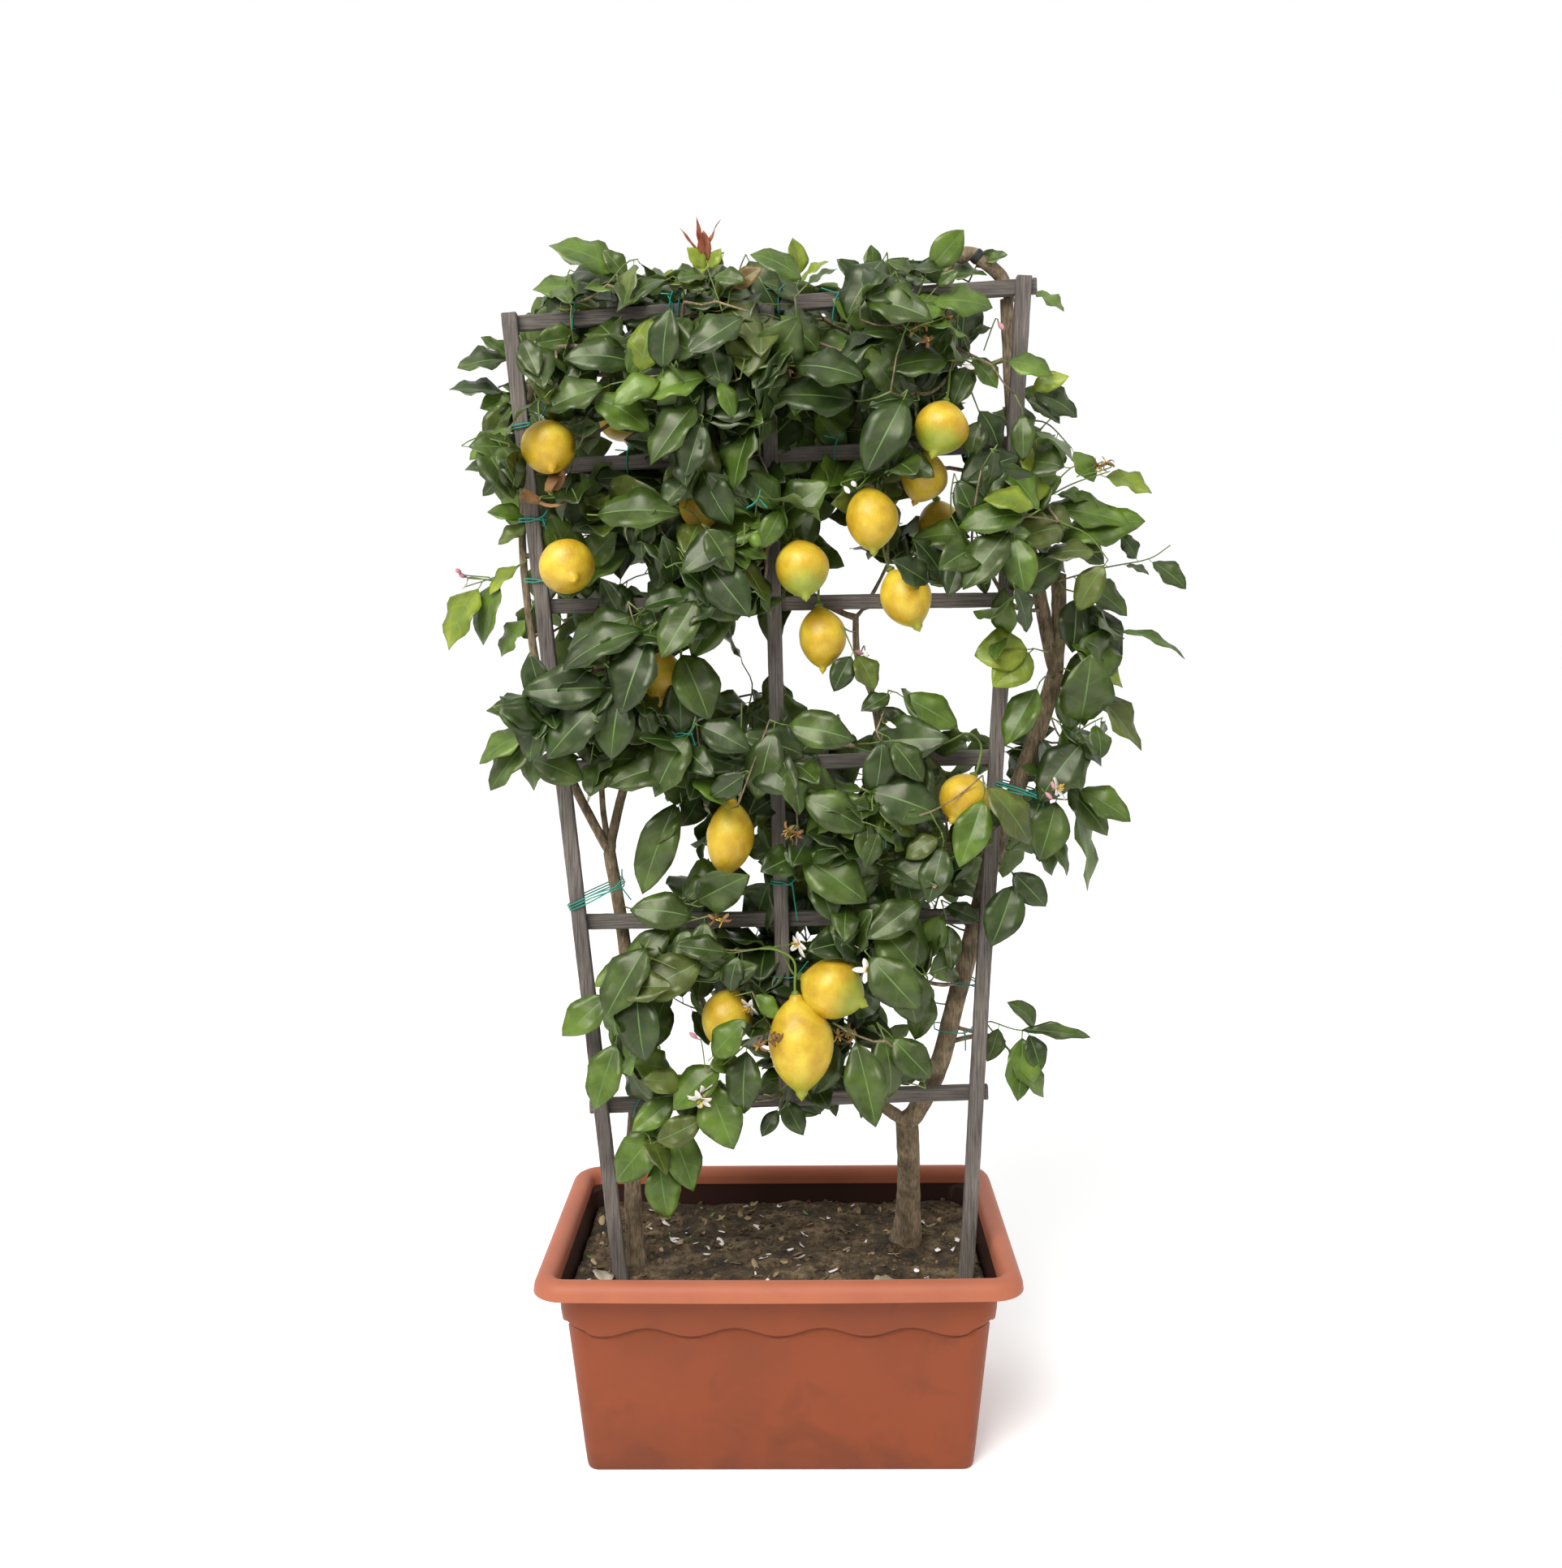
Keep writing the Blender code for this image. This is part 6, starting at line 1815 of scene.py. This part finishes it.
rail_ties = [tie(x, z, half, RAIL_FRONT, RAIL_BACK, *rest, on_rail=True) for x, z, half, *rest in RAIL_TIES]
limb_ties = [tie(*row) for row in LIMB_TIES]
wire_ties = new_piece("garden_wire_ties", *gather(rail_ties + limb_ties), [tie_wire])
place(wire_ties, "tie_wire")

# %% [markdown]
# One flat black rubber strap holds the arching limb to the top rail.

# %% Rubber strap
strap_rubber = new_finish("black_rubber_strap", "#1B1B1C", 0.6)[0]
arch, arch_radii = limb_paths["bough_right_arch"], limb_radii["bough_right_arch"]
middle = int(np.abs(arch[:, 0] - 0.246).argmin())
strap_line, _ = smooth_line(arch[middle - 1 : middle + 2], 0.0008)
snug = np.full(len(strap_line), arch_radii[middle] * 1.16)
snug[[0, -1]] *= 0.90
strap = new_piece("rubber_strap", *sweep(strap_line, snug, 24, squash=0.02), [strap_rubber])
place(strap, "strap")

# %% [markdown]
# Petals, leaf scraps and crumbs lie on the soil. They are strewn by a second node tree, which scatters
# points over the soil's upward faces, and turns and sizes each copy at random from a fixed seed.

# %% A node tree that strews things on the ground


def strewing_tree():
    """Geometry Nodes: scatters shapes over the upward faces, each with a random turn and size."""
    tree, sockets, inputs, shapes = start_tree(
        "strew_on_soil", Ground="Geometry", Shapes="Collection", Finish="Material", Per_square_metre="Float",
        Smallest="Float", Largest="Float", Most_tilt="Float", Seed="Int")
    normal = add_node(tree, "GeometryNodeInputNormal")
    level = add_node(tree, "ShaderNodeSeparateXYZ", {"Vector": normal}).outputs["Z"]
    upward = add_node(tree, "FunctionNodeCompare", {"A": level, "B": 0.6}, operation="GREATER_THAN")
    spread = add_node(tree, "GeometryNodeDistributePointsOnFaces", {
        "Mesh": inputs["Ground"], "Selection": upward,
        "Density": inputs["Per square metre"], "Seed": inputs["Seed"]})
    tilt = inputs["Most tilt"]
    least = add_node(tree, "ShaderNodeMath", {0: tilt, 1: -1.0}, operation="MULTIPLY")
    low = add_node(tree, "ShaderNodeCombineXYZ", {"X": least, "Y": least}).outputs["Vector"]
    high = add_node(tree, "ShaderNodeCombineXYZ", {"X": tilt, "Y": tilt, "Z": 6.283}).outputs["Vector"]
    drawn = []
    for kind, lowest, highest in (("INT", 0, 5), ("FLOAT_VECTOR", low, high),
                                  ("FLOAT", inputs["Smallest"], inputs["Largest"])):
        node = add_node(tree, "FunctionNodeRandomValue", data_type=kind)
        ends = {socket.name: socket for socket in node.inputs if socket.enabled}
        if kind == "INT":
            ends["Min"].default_value, ends["Max"].default_value = lowest, highest
        else:
            for label, value in (("Min", lowest), ("Max", highest), ("Seed", inputs["Seed"])):
                tree.links.new(value, ends[label])
        drawn.append(node)
    end_tree(tree, inputs, spread, shapes, *drawn)
    return tree, sockets


strewing = strewing_tree()


def strew(name, shelf, finish, per_m2, smallest, largest, tilt, seed):
    """Runs the strewing tree on the soil and returns the plain mesh object."""
    return run_tree(name, soil.data, *strewing, Shapes=shelf, Finish=finish, Per_square_metre=per_m2,
                    Smallest=smallest, Largest=largest, Most_tilt=tilt, Seed=seed)


# %% Crumbs, petals and scraps


def shelf_of(name, shapes):
    """A collection of small shapes that a tree can pick from."""
    shelf = bpy.data.collections.new(name)
    for number, (points, faces) in enumerate(shapes):
        shape = new_piece(f"{name}_{number}", points, faces, [withered_tan])
        bpy.context.scene.collection.objects.unlink(shape)
        shelf.objects.link(shape)
    return shelf


def crumb(number):
    """A lump a unit across: a short tube of uneven rings."""
    line = [(0, 0, -0.36), (0.04, 0, -0.12), (0, 0.05, 0.14), (0, 0, 0.36)]

    def uneven(i, angles):
        return 1 + 0.28 * np.sin(2 * angles + number * 1.7 + i) + 0.16 * np.cos(3 * angles + number)

    return sweep(line, (0.26, 0.46, 0.44, 0.24), 7, uneven)


flat_way, flat_up = np.array((0, 1.0, 0)), np.array((0, 0, 1.0))
crumbs = shelf_of("crumb", [crumb(number) for number in range(6)])
fallen = [petal((0, -0.5, 0.05), flat_way, flat_up, 1.0, 0.28 + 0.05 * k, 0.7 - 0.35 * k) for k in range(6)]
petals = shelf_of("fallen_petal", fallen)
crumb_soil = two_toned("dry_soil_crumb", "#6A563C", "#2A2014", 0.95)
dry_scrap = two_toned("dry_petal_scrap", "#B09A78", "#6E573A", 0.9)
weed_green = two_toned("soil_weed_green", "#6A8A38", "#4A6424", 0.6)
for name, shelf, finish, slot, *spread in (  # spread: how many on a square metre, sizes, most tilt, seed
        ("soil_crumbs", crumbs, crumb_soil, "potting_soil", 5200, 0.0020, 0.0095, 3.1, 3),
        ("fallen_petals", petals, petal_white, "blossom", 430, 0.008, 0.019, 0.5, 8),
        ("withered_scraps", petals, dry_scrap, "potting_soil", 800, 0.006, 0.020, 0.6, 15),
        ("soil_weeds", petals, weed_green, "leaves", 160, 0.008, 0.016, 0.9, 21)):
    place(strew(name, shelf, finish, *spread), slot)

# %% Dry leaves in the corner
dry_leaf = two_toned("dry_leaf_grey_tan", "#A79C88", "#6F6350", 0.8)
DRY_LEAVES = ((-0.215, -0.118, 0.4, 0.048), (-0.200, -0.126, 1.9, 0.046), (-0.175, -0.128, 3.0, 0.044),
              (-0.150, -0.118, 4.4, 0.036), (0.075, -0.120, 1.2, 0.032), (0.115, -0.105, 5.0, 0.036))
rows = [((x, y, soil_height(x, y) + 0.006), (0.15 * math.sin(number), 0.2 * math.cos(number), turn),
         (size,) * 3, number * 2) for number, (x, y, turn, size) in enumerate(DRY_LEAVES)]
place(set_on_points("dry_leaves", *setting_tree("set_dry_leaves"), leaf_shelf, dry_leaf, rows), "leaves")

# %% [markdown]
# Last, the finished tree's box is compared with the imported model's, and how far it passes on each side is
# printed.

# %% Sizes and finish
VISUAL_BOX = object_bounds()
for axis, name in enumerate("xyz"):
    print(name, "from", round(VISUAL_BOX[0][axis] - CAD_BOX[0][axis], 4), "to",
          round(VISUAL_BOX[1][axis] - CAD_BOX[1][axis], 4), "past the packed box")
